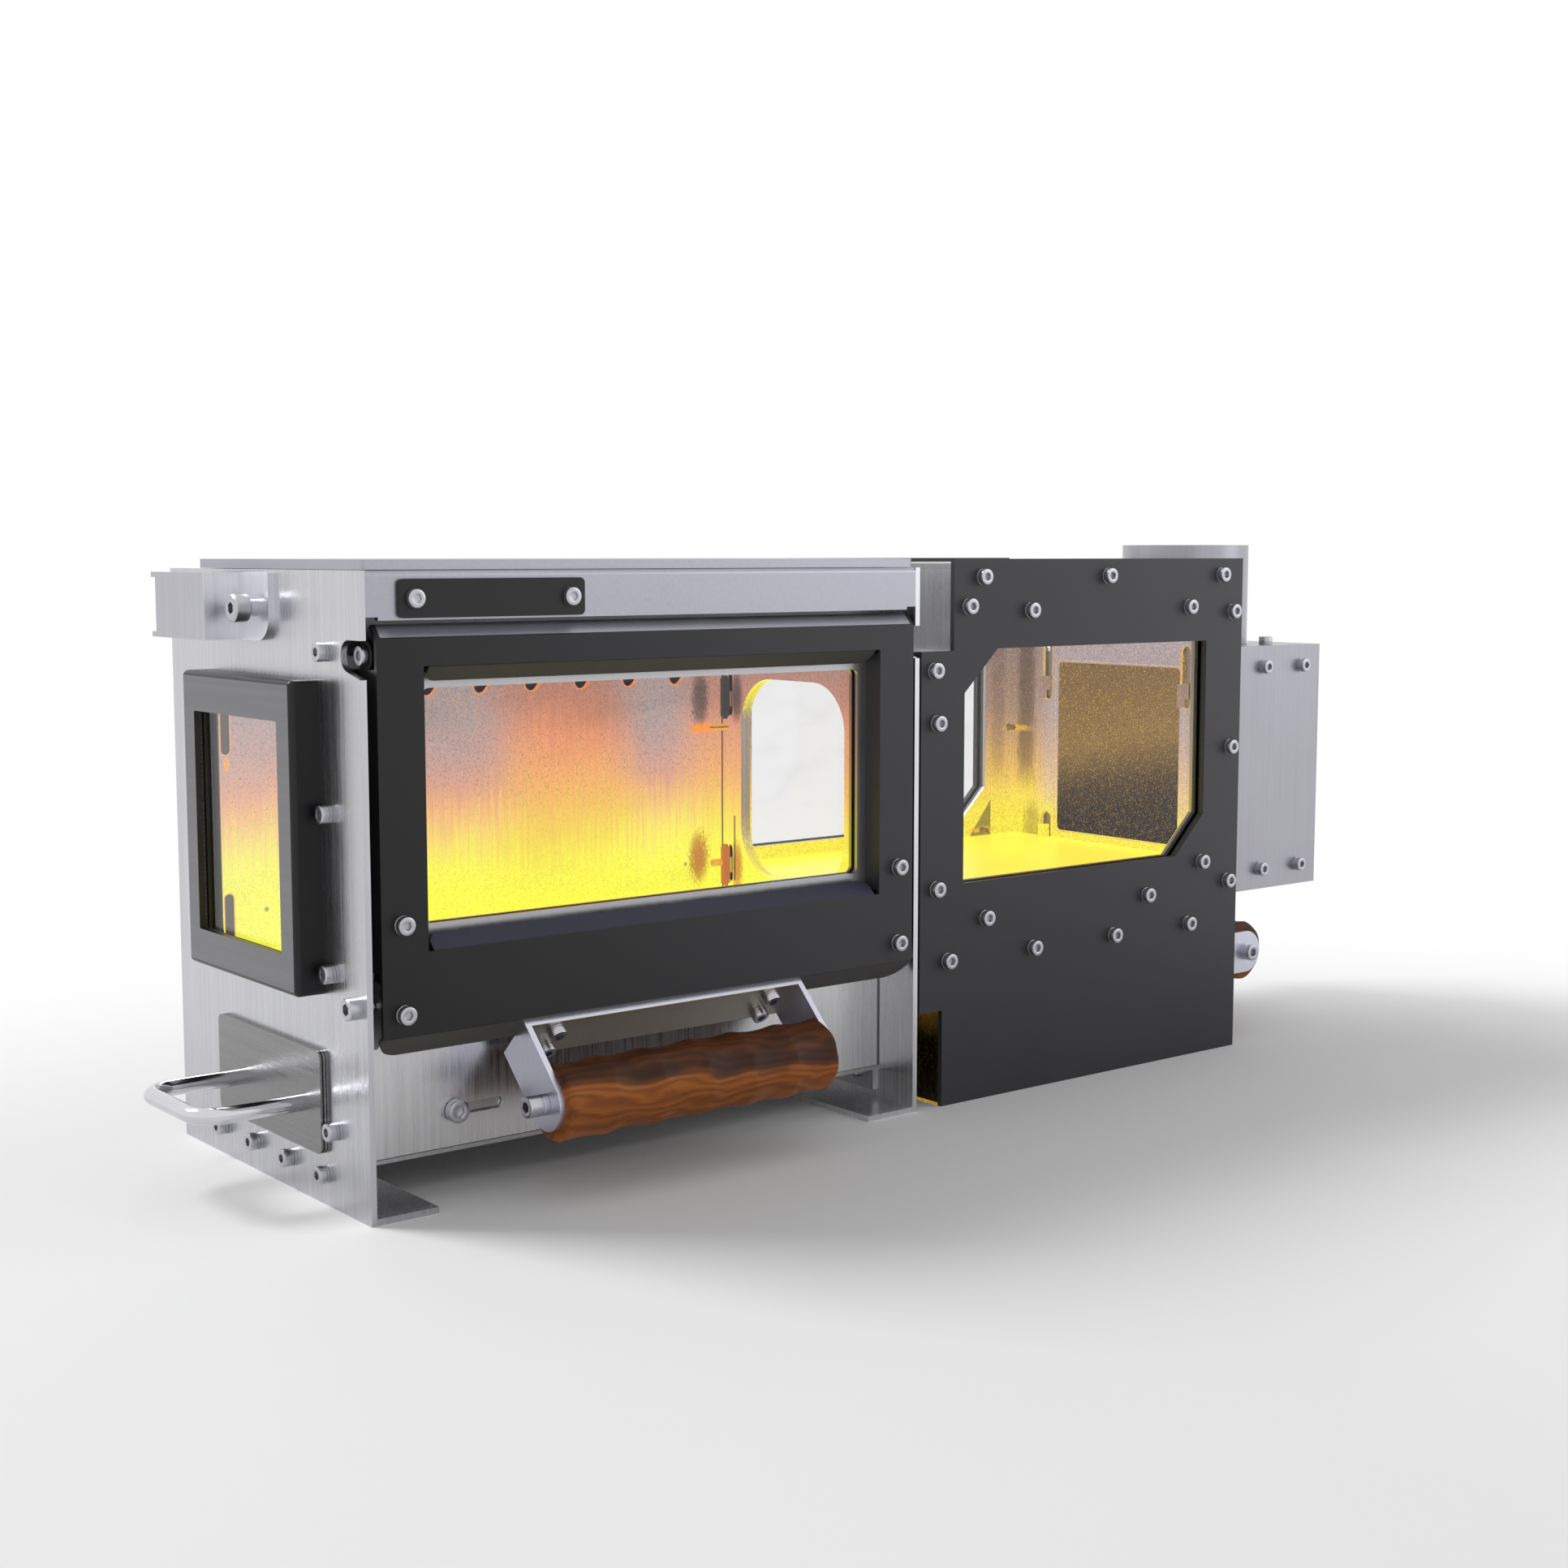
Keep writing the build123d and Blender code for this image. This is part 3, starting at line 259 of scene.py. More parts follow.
# Colours of the firelight painted on the inner faces, by height in millimetres
FIRE_EDGE = (
    (100, "fcfc44"), (126, "fbf754"), (142, "f8dc6a"), (155, "f5bd76"),
    (169, "dda086"), (186, "bd9c96"), (206, "a89896"), (245, "978a88"),
)
FIRE_PLUME = (
    (100, "fcfc40"), (126, "fbf24e"), (142, "f5d752"), (158, "f4bd5e"),
    (176, "f3ad68"), (195, "e9966a"), (212, "bc7c64"), (245, "8c7068"),
)
CHAMBER_LIGHT = (
    (112, "f8e636"), (128, "f6dc44"), (147, "e8ba58"), (168, "c39866"),
    (190, "a0826f"), (225, "8a7268"), (288, "a29591"),
)
PASSAGE_RIM = (
    (100, "f8f050"), (122, "f0e050"), (136, "b09b68"), (150, "8f816e"),
    (202, "93877a"), (214, "f0e040"), (240, "f4f02c"),
)
FLUE_LIGHT = (
    (90, "080706"), (125, "1a1715"), (146, "443522"), (172, "856938"),
    (200, "7b6036"), (236, "705634"),
)

# Insides that the fire lights, and the passage between two of them: ranges along X, Y and Z
FIRE_ROOM = ((-0.6, 323.4), (27.5, 168.6), (88.5, 285.5))
CHAMBER_ROOM = ((323.45, 575.5), (12.6, 187.4), (111, 288.4))
FLUE_ROOM = ((575.5, 700), (42.6, 157.4), (86.6, 236.4))
PASSAGE = ((317.03, 323.45), (36, 152.5), (100, 240))
# Along X: end of the fire's wall, seal, chamber's left wall, and gap where light leaks out
FIRE_WALL_END, SEAL, CHAMBER_WALL, LEAK = 319.9, (321.6, 323.4), (316.9, 321), (337, 346)
# X and Z of the step in the top left corner of the middle chamber
CHAMBER_STEP = (345.5, 244)

# Faces inside that carry painted reflections, glow and shade: liner and inner wall along Y, plate
# and right wall along X
LINER_Y = 167
INNER_WALL = (186.5, 187.2)
PLATE_FACE = (316.7, 317.3)
RIGHT_WALL = (573.8, 577.2)

# Leaning air slots of the liner, slots of the hooks that hold the flue box, and the hole
# between them: its middle along Y and Z, and where its rim starts and ends
SLOT_PITCH, SLOT_LEAN, SLOT_HALF, SLOT_RADIUS = 32, math.radians(50), 15, 4
SLOT_MIDDLE = (26 + 11 * math.cos(SLOT_LEAN), 226 + 11 * math.sin(SLOT_LEAN))
HOOK_SLOT_HEIGHTS = ((104.8, 127.7), (202, 240))
HOOK_SLOT_RADIUS = 3.75
FLUE_HOOK_Y = (41.5, 158.5)
FLUE_HOLE = (96.8, 172, 54.2, 54.9)

# Painted reflections of hooks on the liner: place along X, half width and heights; the painted
# glint of a pin beside them
LINER_HOOKS = (11.2, 2.3, ((101, 127), (197, 240)))
LINER_PIN = ((11.5, 2), (192, 4))
# Painted reflection of the chamber window's edge: its end along X, slope and drop
WINDOW_EDGE = (551, 1.25, 553.5)
# Painted blurred reflections: place on the face, unevenness, size, strength and colour
LINER_REFLECTIONS = (
    ((299.5, 213), (12, 16), (7, 19), 0.85, "453a3a"),
    ((298, 121), (14, 18), (8, 17), 0.85, "b4501c"),
    ((300, 196), (8, 4), (10, 3.6), 0.9, "ff9420"),
)
PLATE_REFLECTIONS = (
    ((155.2, 214), (6, 12), (6.4, 17), 0.85, "3f3838"),
    ((155.2, 115.5), (6, 12), (6.4, 17), 0.85, "c8702a"),
)
WALL_REFLECTIONS = (((172, 118), (14, 14), (9, 19), 0.5, "7a5a1c"),)
# Painted glowing streaks beside the bolt ends of the middle section: place and height
STREAKS = ((574, 183, 3), (574, 105.3, 3.4), (543, 117.3, 3))


def capsule(along, across, half, radius):
    """Distance outside a slot with round ends, from its middle along and across it."""
    past = (along.math("ABSOLUTE") - (half - radius)).math("MAXIMUM", 0)
    return (past * past + across * across).math("SQRT") - radius


def upright_slot(across, height, low, high, radius):
    """Distance outside an upright slot between two heights."""
    return capsule(height - (low + high) / 2, across, (high - low) / 2, radius)


def spot(*rows):
    """A soft spot, 1 in its middle and 0 past its edge, from rows of distance and size."""
    shares = [distance / size for distance, size in rows]
    return 1 - sum(share * share for share in shares).ease(0.05, 1.2)


def blots(finish, light, face, u, v, rough, rows):
    """Lays painted blurred reflections, as soft uneven spots, on a face where u and v run along it.
    """
    for place, uneven, size, strength, code in rows:
        far = [axis - at + rough * run for axis, at, run in zip((u, v), place, uneven)]
        light = finish.over(light, (spot(*zip(far, size)) * face * strength, code))
    return light


def liner_marks(finish, light):
    """Painted glow on the rims of the leaning slots, painted reflections of bolts and hooks, and
    the painted glint of a pin, on the liner.
    """
    x, z = finish.x, finish.z
    on_liner = finish.y.within(LINER_Y - 0.2, LINER_Y + 2.2)
    u = (x - SLOT_MIDDLE[0] + SLOT_PITCH / 2).math("FLOORED_MODULO", SLOT_PITCH) - SLOT_PITCH / 2
    v = z - SLOT_MIDDLE[1]
    run, rise = math.cos(SLOT_LEAN), math.sin(SLOT_LEAN)
    rim = capsule(u * run + v * rise, v * run - u * rise, SLOT_HALF, SLOT_RADIUS)
    rim = rim.within(-0.2, 0.7) * on_liner * (x < 300)
    # Painted glow round the rims of the leaning slots
    light = finish.over(light, (rim * 0.85, "f0883c"))
    rough = finish.noise((1, 1, 2.4), 3)
    # Painted blurred reflections on the liner
    light = blots(finish, light, on_liner, x, z, rough, LINER_REFLECTIONS)
    # Painted reflections of the hooks: a dark bar with a glowing rim
    middle, half_width, heights = LINER_HOOKS
    for low, high in heights:
        bar = upright_slot(x - middle, z, low, high, half_width)
        layers = ((bar < 0) * on_liner, "38302e"), (bar.within(0, 0.6) * on_liner, "f0a050")
        light = finish.over(light, *layers)
    # Painted glint of a pin
    pin = spot(*((axis - at, size) for axis, (at, size) in zip((x, z), LINER_PIN)))
    return finish.over(light, (pin * on_liner, "f0a83c"))


def plate_marks(finish, light):
    """Painted blurred reflections of the hooks on the right end plate, a darker line, painted shade
    and glow on the hook tips, and the passage's painted glowing rim.
    """
    on_plate = finish.inside(PLATE_FACE)
    rough = finish.noise((1, 1, 2.4), 3)
    # Painted blurred reflections of the hooks on the plate
    light = blots(finish, light, on_plate, finish.y, finish.z, rough, PLATE_REFLECTIONS)
    # A darker line laid into the painted firelight on the plate
    dark_line = finish.inside(None, (156.6, 158), (106.8, 144.5)) * on_plate
    # Painted shade on the upper hook tips and painted glow across their lower part
    hook = finish.inside((312, 316.9), (38, 166))
    light = finish.over(
        light, (dark_line * 0.85, "3a2a1c"), (hook * (finish.z > 160), "322f30"),
        (hook * finish.z.within(100, 130), "c0682c"),
    )
    # Painted glowing rim round the passage
    rim = finish.ramp(finish.z + rough * 30, PASSAGE_RIM)
    return finish.mix(finish.inside(*PASSAGE), light, rim)


def chamber_marks(finish, light):
    """Painted light and shade in the middle chamber: a paler wall, shade in a corner and beside the
    window, blurred and window-edge reflections, glowing streaks, and glowing rims of slots and
    hole.
    """
    x, y, z = finish.x, finish.y, finish.z
    rough = finish.noise((2, 2, 9), 3)
    on_right, on_inner = finish.inside(RIGHT_WALL), finish.inside(None, INNER_WALL)
    high_up = z.ease(135, 165)
    # Painted light on the lower right wall; painted shade in its back corner and beside the
    # window's edge
    pale = on_right * (1 - y.ease(150, 176)) * z.ease(117, 150)
    corner = spot((y - 178 + rough * 9, 9)) * on_right * high_up
    edge = spot((x - 557 + rough * 3, 7)) * on_inner * high_up
    light = finish.over(
        light, (pale * 0.4, "c4b9c4"), (corner * 0.62, "3c2c20"), (edge * 0.28, "3c2c20")
    )
    # Painted blurred reflection on the right wall
    light = blots(finish, light, on_right, y, z, rough, WALL_REFLECTIONS)
    # Painted reflection of the window's edge
    end, slope, drop = WINDOW_EDGE
    mirrored = on_inner * (x < end) * (x * slope - drop > z)
    light = finish.over(light, (mirrored * 0.8, "6b5420"))
    # Painted glowing streaks beside the bolt ends
    for at_x, at_z, height in STREAKS:
        from_z = z - at_z + 1.5 + rough * 4
        streak = spot((x - at_x + rough * 10, 15), (from_z, height * 0.7))
        streak = streak * y.ease(167, 184) * (z > 112.1)
        light = finish.over(light, (streak * 0.8, "e8b428"))
    # Painted glow round the hook slots and the flue hole
    for middle in FLUE_HOOK_Y:
        for low, high in HOOK_SLOT_HEIGHTS:
            rim = upright_slot(y - middle, z, low, high, HOOK_SLOT_RADIUS).within(-0.2, 0.7)
            light = finish.over(light, (rim * on_right * 0.8, "e0a840"))
    middle_y, middle_z, *rim = FLUE_HOLE
    hole = (y - middle_y).math("ABSOLUTE").either((z - middle_z).math("ABSOLUTE") - 1)
    return finish.over(light, (hole.within(*rim) * on_right * 0.6, "e0b060"))


def firelight(finish, settings, fire_side=True, marks=True):
    """Colour of the fire's light inside, black on every other face, and where it falls."""
    x, y, z = finish.x, finish.y, finish.z
    streaks = finish.noise((1.3, 1.3, 34), 3)
    speckle = finish.noise((0.75, 0.75, 0.95), 1)
    clouds = finish.noise((60, 60, 45), 2)
    # Painted glints of firelight in the chamber, the flue and the light leaking at the foot
    glints = finish.noise(0.8, 0, finish.vector("ADD", finish.point, (90, 0, 0)))
    glints = glints.ease(0.12, 0.26)
    ends = (1 - x.ease(30, 215)) * 9 + x.ease(262, 300) * 5
    height = z + streaks * 34 + speckle * 30 + clouds * 16 - ends
    plume_x = (x + clouds * 30 - 208) / 52
    plume = 1 - (plume_x * plume_x).ease(0.05, 1.3) * (1 - x.ease(272, 308) * 0.7)
    fire = finish.mix(plume, finish.ramp(height, FIRE_EDGE), finish.ramp(height, FIRE_PLUME))
    dots, high_up = speckle + streaks * 0.4, z.ease(140, 185)
    fire = finish.over(
        fire, (dots.ease(0.02, 0.24) * high_up * 0.5, "e08a5c"),
        ((1 - dots.ease(-0.26, -0.04)) * high_up * 0.5, "6c5d64"),
    )
    chamber = finish.ramp(height, CHAMBER_LIGHT)
    # marks: painted reflections, glow and shade on the liner, the plate and the chamber's walls
    if marks:
        fire = plate_marks(finish, liner_marks(finish, fire))
        chamber = chamber_marks(finish, chamber)
    flue = finish.ramp(z + speckle * 6 + clouds * 16, FLUE_LIGHT)
    in_fire = finish.inside(*FIRE_ROOM) * (x < FIRE_WALL_END).either(x.within(*SEAL))
    if not fire_side:
        in_fire = in_fire * (x < CHAMBER_WALL[0]).either(x > CHAMBER_WALL[1])
    in_chamber = finish.inside(*CHAMBER_ROOM)
    in_chamber = in_chamber * (1 - (x < CHAMBER_STEP[0]) * (z > CHAMBER_STEP[1]))
    in_flue = finish.inside(*FLUE_ROOM)
    # Light that leaks out beside the middle chamber: grey at the step, golden at the foot
    beside = x.within(*LEAK) * (1 - in_chamber)
    foot = beside * (z < 90)
    leak = foot * (z.ease(34, 66) * (0.5 + clouds * 2) + (z < 1.6)) + glints * foot * 0.1
    uneven = 1 + speckle * settings.speckle * (1 + (x > CHAMBER_ROOM[0][0]) * 1.2)
    # Unevenness of the painted light that leaks out beside the chamber
    uneven_leak = 1 + speckle * 1.6
    light = finish.scaled(fire, in_fire * uneven)
    for colour, strength in (
        (chamber, in_chamber * uneven),
        (flue, in_flue * uneven),
        (linear("d8a448"), glints * (in_chamber * 0.4 + in_flue * 0.7)),
        (linear("4c4c4d"), beside * (z > CHAMBER_STEP[1]) * uneven_leak),
        (linear("a3802a"), leak * uneven_leak),
    ):
        light = finish.vector("ADD", light, finish.scaled(colour, strength))
    return light, in_fire + in_chamber + in_flue + foot


# Finishes

# Beyond the stove on every side, for ranges that are open at one end
FAR = 1000
# Places with painted light, shade or sheen, or a colour of their own: ranges along X, Y, Z and Y +
# Z
OPENING_EDGE = ((-3.1, 0.1), (49.9, 148.1), (109.9, 228.1))
PANEL_CORNER = ((316.2, FAR), (26.9, 28.3), (21, 88))
DRAWER_JOINT = ((-5, -4.3),)
HANGER_PAD = (None, (-FAR, 112.7))
BRACKET_WEB = ((80.7, 238.4), None, None, (78.2, 79.2))
COVER_FACE = ((-FAR, -16.95),)
DOOR_FOOT = (None, None, (-FAR, 82.6))
DOOR_LIP = ((7, 313.6), (-FAR, 5.6), (259.9, FAR))
WINDOW_HEAD = ((29, 292), (0.4, FAR), (239.8, 246.6))
WINDOW_SILL = ((29, 292), (0.4, FAR), (120.4, 127.2))
LEFT_BOLTS = ((-FAR, 320),)
BOLT_MIDDLE = ((-FAR, 320), None, (195.7, 196.7))
PASSAGE_SEAL = ((318, 325), (36, 152.5))


def drawn_out(axis, long, short):
    """Grain size of a noise drawn out along one axis."""
    return tuple(long if name == axis else short for name in "XYZ")


def steel(name, colour, roughness, lit=None, grain="Z", contrast=0.2, patch=None, shadow=None):
    """Brushed stainless steel with its grain along one axis.

    The fire's light may be painted on it: with painted reflections, glow and shade
    (painted_details), plain without them, or as the chamber's wall, dark towards the fire. A patch
    gives a lighter or darker colour as painted light or shade, a painted shadow a strength, and
    each the ranges where it lies."""
    finish = Finish(name, Metallic=1)
    scratches = finish.noise(drawn_out(grain, 34, 0.32), 3)
    bands = finish.noise(drawn_out(grain, 238, 2.24), 2)
    blotches = finish.noise(45, 3)
    if patch:
        colour = finish.mix(finish.inside(*patch[1]), colour, patch[0])
    shade = 1 + scratches * contrast + bands * contrast * 0.8 + blotches * 0.08
    if shadow:
        shade = shade * (1 - finish.inside(*shadow[1]) * shadow[0])
    metal = finish.scaled(colour, shade)
    if lit:
        settings = bpy.context.scene.stove_fire
        glow, inside = firelight(finish, settings, lit != "chamber", lit != "plain")
        metal = finish.mix(inside, metal, finish.scaled(metal, settings.inner_metal))
        finish.set(Emission_Color=glow, Emission_Strength=1)
    rough = roughness + scratches * 0.25 + bands * 0.12 + blotches * 0.10
    finish.set(Base_Color=metal, Roughness=rough)
    finish.bump(scratches + bands * 0.8, 0.016)
    return finish.material


def black_paint(name, colour, roughness, door=False):
    """Satin black heat paint with a powder texture and painted light and shade: darker on the left
    and at the foot.

    The door's top lip is bare steel; its foot and window head carry a painted grey sheen, its
    window sill a painted bluish one."""
    finish = Finish(name, IOR=1.5, Specular_IOR_Level=0.36)
    x, z = finish.x, finish.z
    powder, blotches = finish.noise(0.5, 2), finish.noise(38, 3)
    # Painted light and shade: the black grows lighter towards the right and the top
    from_left = x.ease(-60, 340)
    if door:
        shade = 0.15 + from_left * 2.8
    else:
        shade = 0.42 + from_left + x.ease(400, 640) * z.ease(10, 120) * 0.9
    shade = shade + z.ease(20, 260) * 0.4
    paint = finish.scaled(colour, shade + powder * 0.25 + blotches * 0.3)
    if door:
        bare = finish.inside(*DOOR_LIP)
        scratches = finish.noise(drawn_out("Z", 34, 0.32), 3)
        lip = finish.scaled(bpy.context.scene.stove_metal.bright, 1 + scratches * 0.3)
        # Painted reflections: grey on the door's foot and window head, bluish on its window sill
        painted_sheen = finish.inside(*DOOR_FOOT).either(finish.inside(*WINDOW_HEAD))
        grey = finish.scaled(linear("4c4a45"), 1 + powder * 1.4)
        paint = finish.mix(painted_sheen * 0.85, paint, grey)
        paint = finish.over(paint, (finish.inside(*WINDOW_SILL) * 0.8, "34354a"))
        paint = finish.mix(bare, paint, lip)
        finish.set(Metallic=bare)
    finish.set(Base_Color=paint, Roughness=roughness + powder * 0.10 + blotches * 0.12)
    finish.bump(powder, 0.015)
    return finish.material


def cover_paint(name, colour, worn, roughness):
    """Black paint whose outer face is dark brushed steel, lighter than the black: partly a steel
    finish, partly painted light on that side.
    """
    finish = Finish(name, IOR=1.5, Specular_IOR_Level=0.36)
    powder = finish.noise(0.5, 2)
    strokes = finish.noise((0.32, 40, 0.35), 3)
    bands = finish.noise((3, 160, 2.6), 2)
    # The outer face is made lighter brushed steel: partly finish, partly painted light
    painted_sheen = finish.inside(*COVER_FACE)
    paint = finish.scaled(colour, 0.55 + powder * 0.2)
    steel_face = finish.scaled(worn, 1 + strokes * 0.35 + bands * 0.25)
    rough = roughness + powder * 0.10 + painted_sheen * strokes * 0.25
    finish.set(Base_Color=finish.mix(painted_sheen, paint, steel_face), Metallic=painted_sheen, Roughness=rough)
    finish.bump(powder * (1 - painted_sheen) + strokes * painted_sheen, 0.012)
    return finish.material


def window_glass(name, clearness=1):
    """Clear ceramic glass with a thin cloudy brown film, open to the lamps' light."""
    finish = Finish(name, Base_Color=(clearness,) * 3, Roughness=0, IOR=1.3)
    finish.set(Transmission_Weight=1)
    glass = Value(finish, finish.shader.outputs[0])
    film = finish.noise((70, 70, 26), 3).ease(0, 0.3) * 0.05
    soot = finish.add("ShaderNodeBsdfDiffuse", {"Color": (*linear("6a5a4c"), 1)})
    coated = finish.add("ShaderNodeMixShader", {0: film, 1: glass, 2: soot})
    shadow = finish.add("ShaderNodeLightPath", output="Is Shadow Ray")
    clear = finish.add("ShaderNodeBsdfTransparent")
    through = finish.add("ShaderNodeMixShader", {0: shadow, 1: coated, 2: clear})
    finish.tree.links.new(through.socket, finish.output.inputs[0])
    return finish.material


def rope(name, colour):
    """Woven glass-fibre seal, lit by the fire round the passage."""
    finish = Finish(name)
    lit = finish.scaled(finish.ramp(finish.z, PASSAGE_RIM), finish.inside(*PASSAGE_SEAL))
    inputs = {"Vector": finish.point, "Scale": 0.28, "Distortion": 1.5, "Detail": 2}
    braid = finish.add("ShaderNodeTexWave", inputs, "Fac", bands_direction="DIAGONAL")
    fibres = finish.noise(0.3, 2) + 0.5
    strands = finish.scaled(colour, 0.55 + braid * 0.5 + fibres * 0.3)
    finish.set(Base_Color=strands, Roughness=0.85 + fibres * 0.1)
    finish.set(Emission_Color=lit, Emission_Strength=0.9)
    finish.bump(braid + fibres * 0.3, 0.5)
    return finish.material


def polished(name, colour, roughness):
    """Turned and polished steel with small marks."""
    finish = Finish(name, Metallic=1)
    marks, blotches = finish.noise(0.8, 3), finish.noise(14, 3)
    metal = finish.scaled(colour, 1 + marks * 0.10 + blotches * 0.12)
    finish.set(Base_Color=metal, Roughness=roughness + marks * 0.08 + blotches * 0.08)
    finish.bump(marks, 0.006)
    return finish.material


def firelit_bolts(name, colour):
    """Bolt ends in the fire's light, brown on the right and gold with a dark middle on the left."""
    finish = Finish(name, Metallic=1, Roughness=0.35)
    grain = finish.noise(1, 2)
    left, middle = finish.inside(*LEFT_BOLTS), finish.inside(*BOLT_MIDDLE)
    gold = finish.over(linear("6e4f1c"), (left, "e8a02c"), (middle * 0.85, "3a2410"))
    finish.set(Base_Color=finish.scaled(colour, 0.5 + grain * 0.3))
    finish.set(Emission_Color=finish.scaled(gold, 1 + grain), Emission_Strength=0.8)
    return finish.material


def walnut(name, centre, axis, settings):
    """Oiled walnut: wavy growth rings along one axis, darker towards the top."""
    finish = Finish(name, IOR=1.45)
    point = finish.vector("SUBTRACT", finish.point, tuple(centre))
    x, y, z = finish.axes(point)
    along, across = (x, y) if axis == "X" else (y, x)
    swirl = finish.noise(drawn_out(axis, 55, 20), 2, point)
    fibre = finish.noise(drawn_out(axis, 30, 0.7), 3, point)
    patches = finish.noise(drawn_out(axis, 26, 13), 1, point)
    depth = z * 0.9 + across * 0.5 + along * 0.05 + swirl * 24
    rings = (depth * 1.5 + fibre * 2.6).math("SINE") * 0.5 + 0.5
    wide = (depth * 0.33 + 1).math("SINE") * 0.5 + 0.5
    # Darker wood towards the top of the grip
    darker_top = (depth + wide * 7).ease(-6, 7)
    light = finish.mix(rings * 0.55, settings.light_wood, settings.mid_wood)
    dark = finish.mix(rings * 0.5, settings.mid_wood, settings.dark_wood)
    wood = finish.mix(wide * 0.28, finish.mix(darker_top, light, dark), settings.dark_wood)
    # Dark patches only on the upper half
    patches = patches.ease(-0.04, 0.12) * z.ease(-6, 6)
    wood = finish.mix(patches * 0.6, wood, settings.dark_wood)
    finish.set(Base_Color=finish.scaled(wood, 1 + fibre * 0.5), Specular_IOR_Level=0.22)
    finish.set(Roughness=0.42 + fibre * 0.25 + rings * 0.05)
    finish.bump(fibre + rings * 0.15, 0.05)
    return finish.material


# Objects


def dress(material, *names):
    """Gives a material to CAD nodes by name, or to those in the slot of its own name."""
    names = names or material.name.split(".")[:1]
    for node, slot in SLOTS.items():
        if node in names or slot in names:
            mesh = NODES[node].data
            mesh.materials.clear()
            mesh.materials.append(material)


def placed(name, data, place=(0.0, 0.0, 0.0), direction=None):
    """A new object in the scene, whose -Z may face along a direction."""
    made = bpy.data.objects.new(name, data)
    made.location = place
    if direction is not None:
        made.rotation_mode = "QUATERNION"
        made.rotation_quaternion = Vector(direction).to_track_quat("-Z", "Y")
    bpy.context.scene.collection.objects.link(made)
    return made


def piece(name, mesh, like, material, *replaced):
    """A new object with a given material on the body of a CAD node; it may stand for CAD nodes,
    which it hides.
    """
    made = placed(name, mesh)
    mesh.materials.clear()
    mesh.materials.append(material)
    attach(made, NODES[like]["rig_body"])
    if replaced:
        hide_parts(*replaced)


def ended(work, name):
    """The plain mesh of a bmesh, which ends here."""
    mesh = bpy.data.meshes.new(name)
    work.to_mesh(mesh)
    work.free()
    return mesh


# Settings


def colour_prop(name, description, code):
    return FloatVectorProperty(
        name=name, description=description, subtype="COLOR", size=3, min=0.0, max=1.0,
        default=linear(code),
    )


def number_prop(name, description, default, **options):
    return FloatProperty(name=name, description=description, default=default, **options)


def share_prop(name, description, default, low=0.0):
    return number_prop(name, description, default, min=low, max=1.0, subtype="FACTOR")


def length_prop(name, description, millimetres):
    return number_prop(name, description, millimetres * MM, min=0.0, unit="LENGTH")


def count_prop(name, description, default, low, high):
    return IntProperty(name=name, description=description, default=default, min=low, max=high)


class StoveMetal(bpy.types.PropertyGroup):
    """Colours and gloss of the steel parts."""

    # The left plate, the right plate (Front), the hanger and the chamber's left wall are one steel
    # given separate tones: lighter or darker copies standing in for light and shade
    end_plate: colour_prop("Left plate", "Left end plate and the chamber's left wall", "c4c4c8")
    bright: colour_prop("Top", "Top plate and hot plate", "a8a8b1")
    front: colour_prop("Front", "Right end plate and the panel under the door", "d6d6d8")
    hanger: colour_prop("Hanger", "Hanger bracket at the top left", "b4b4ba")
    # The pad's brighter colour is a lit copy of the hanger's steel: painted light
    pad: colour_prop("Hanger pad", "Brighter pad of the hanger bracket", "e2e2e8")
    sheet: colour_prop("Sheets", "Inner sheets and walls", "b2b2b4")
    drawer: colour_prop("Drawers", "Darker fronts and trays of the drawers", "868686")
    bracket: colour_prop("Handle brackets", "Folded handle brackets", "d4d4e2")
    # The web's darker, warmer colour is a shaded copy of the bracket's steel behind the grip:
    # painted shade
    web: colour_prop("Handle web", "Web of the door handle's bracket, over the wood", "c6beb0")
    flue: colour_prop("Flue box", "Flue box and collar", "a7a7ad")
    screws: colour_prop("Screws", "Socket screws", "b9b9bf")
    rod: colour_prop("Rod", "Polished rod of the ash drawer handle", "d2d2d6")
    roughness: share_prop("Roughness", "Roughness of brushed steel", 0.34, 0.05)


class StovePaint(bpy.types.PropertyGroup):
    """Black painted sheets, seals and glass."""

    black: colour_prop("Door", "Satin black of the door and the nameplate", "1b1b1d")
    # The middle section's black is a lighter copy of the door's black: painted light
    panels: colour_prop("Middle section", "Satin black of the middle section", "29292c")
    # The cover's face colour is a lighter copy of the black: partly finish, partly painted light
    worn: colour_prop("Window cover", "Dark brushed face of the side window's cover", "77777a")
    rope: colour_prop("Seal", "Woven door seal and window gaskets", "3a3836")
    roughness: share_prop("Roughness", "Roughness of the black paint", 0.4, 0.05)


class StoveFire(bpy.types.PropertyGroup):
    """Light of the fire on the inner faces."""

    speckle: share_prop("Speckle", "Unevenness of the firelight on rough steel", 0.6)
    inner_metal: share_prop("Inner metal", "How much of the steel's own shine is left inside", 0.07)


class StoveScrews(bpy.types.PropertyGroup):
    """Shape of the socket screws."""

    sides: count_prop("Sides", "Sides of a screw head, a multiple of six", 24, 12, 60)
    chamfer: length_prop("Chamfer", "Rounding of a head's rim", 0.55)
    mouth: length_prop("Socket mouth", "Width of the chamfer round the socket", 0.25)


class StoveGrips(bpy.types.PropertyGroup):
    """Carved walnut grips."""

    scoops: count_prop("Scoops", "Carved scoops along a grip", 6, 2, 12)
    rows: count_prop("Rows", "Rows of scoops round a grip", 7, 3, 12)
    depth: length_prop("Scoop depth", "Depth of a carved scoop", 1.5)
    light_wood: colour_prop("Light wood", "Sapwood and light streaks", "a8612b")
    mid_wood: colour_prop("Wood", "Main colour of the wood", "643618")
    # Dark wood also darkens the top of each grip
    dark_wood: colour_prop("Dark wood", "Heartwood and dark rings", "2b180e")


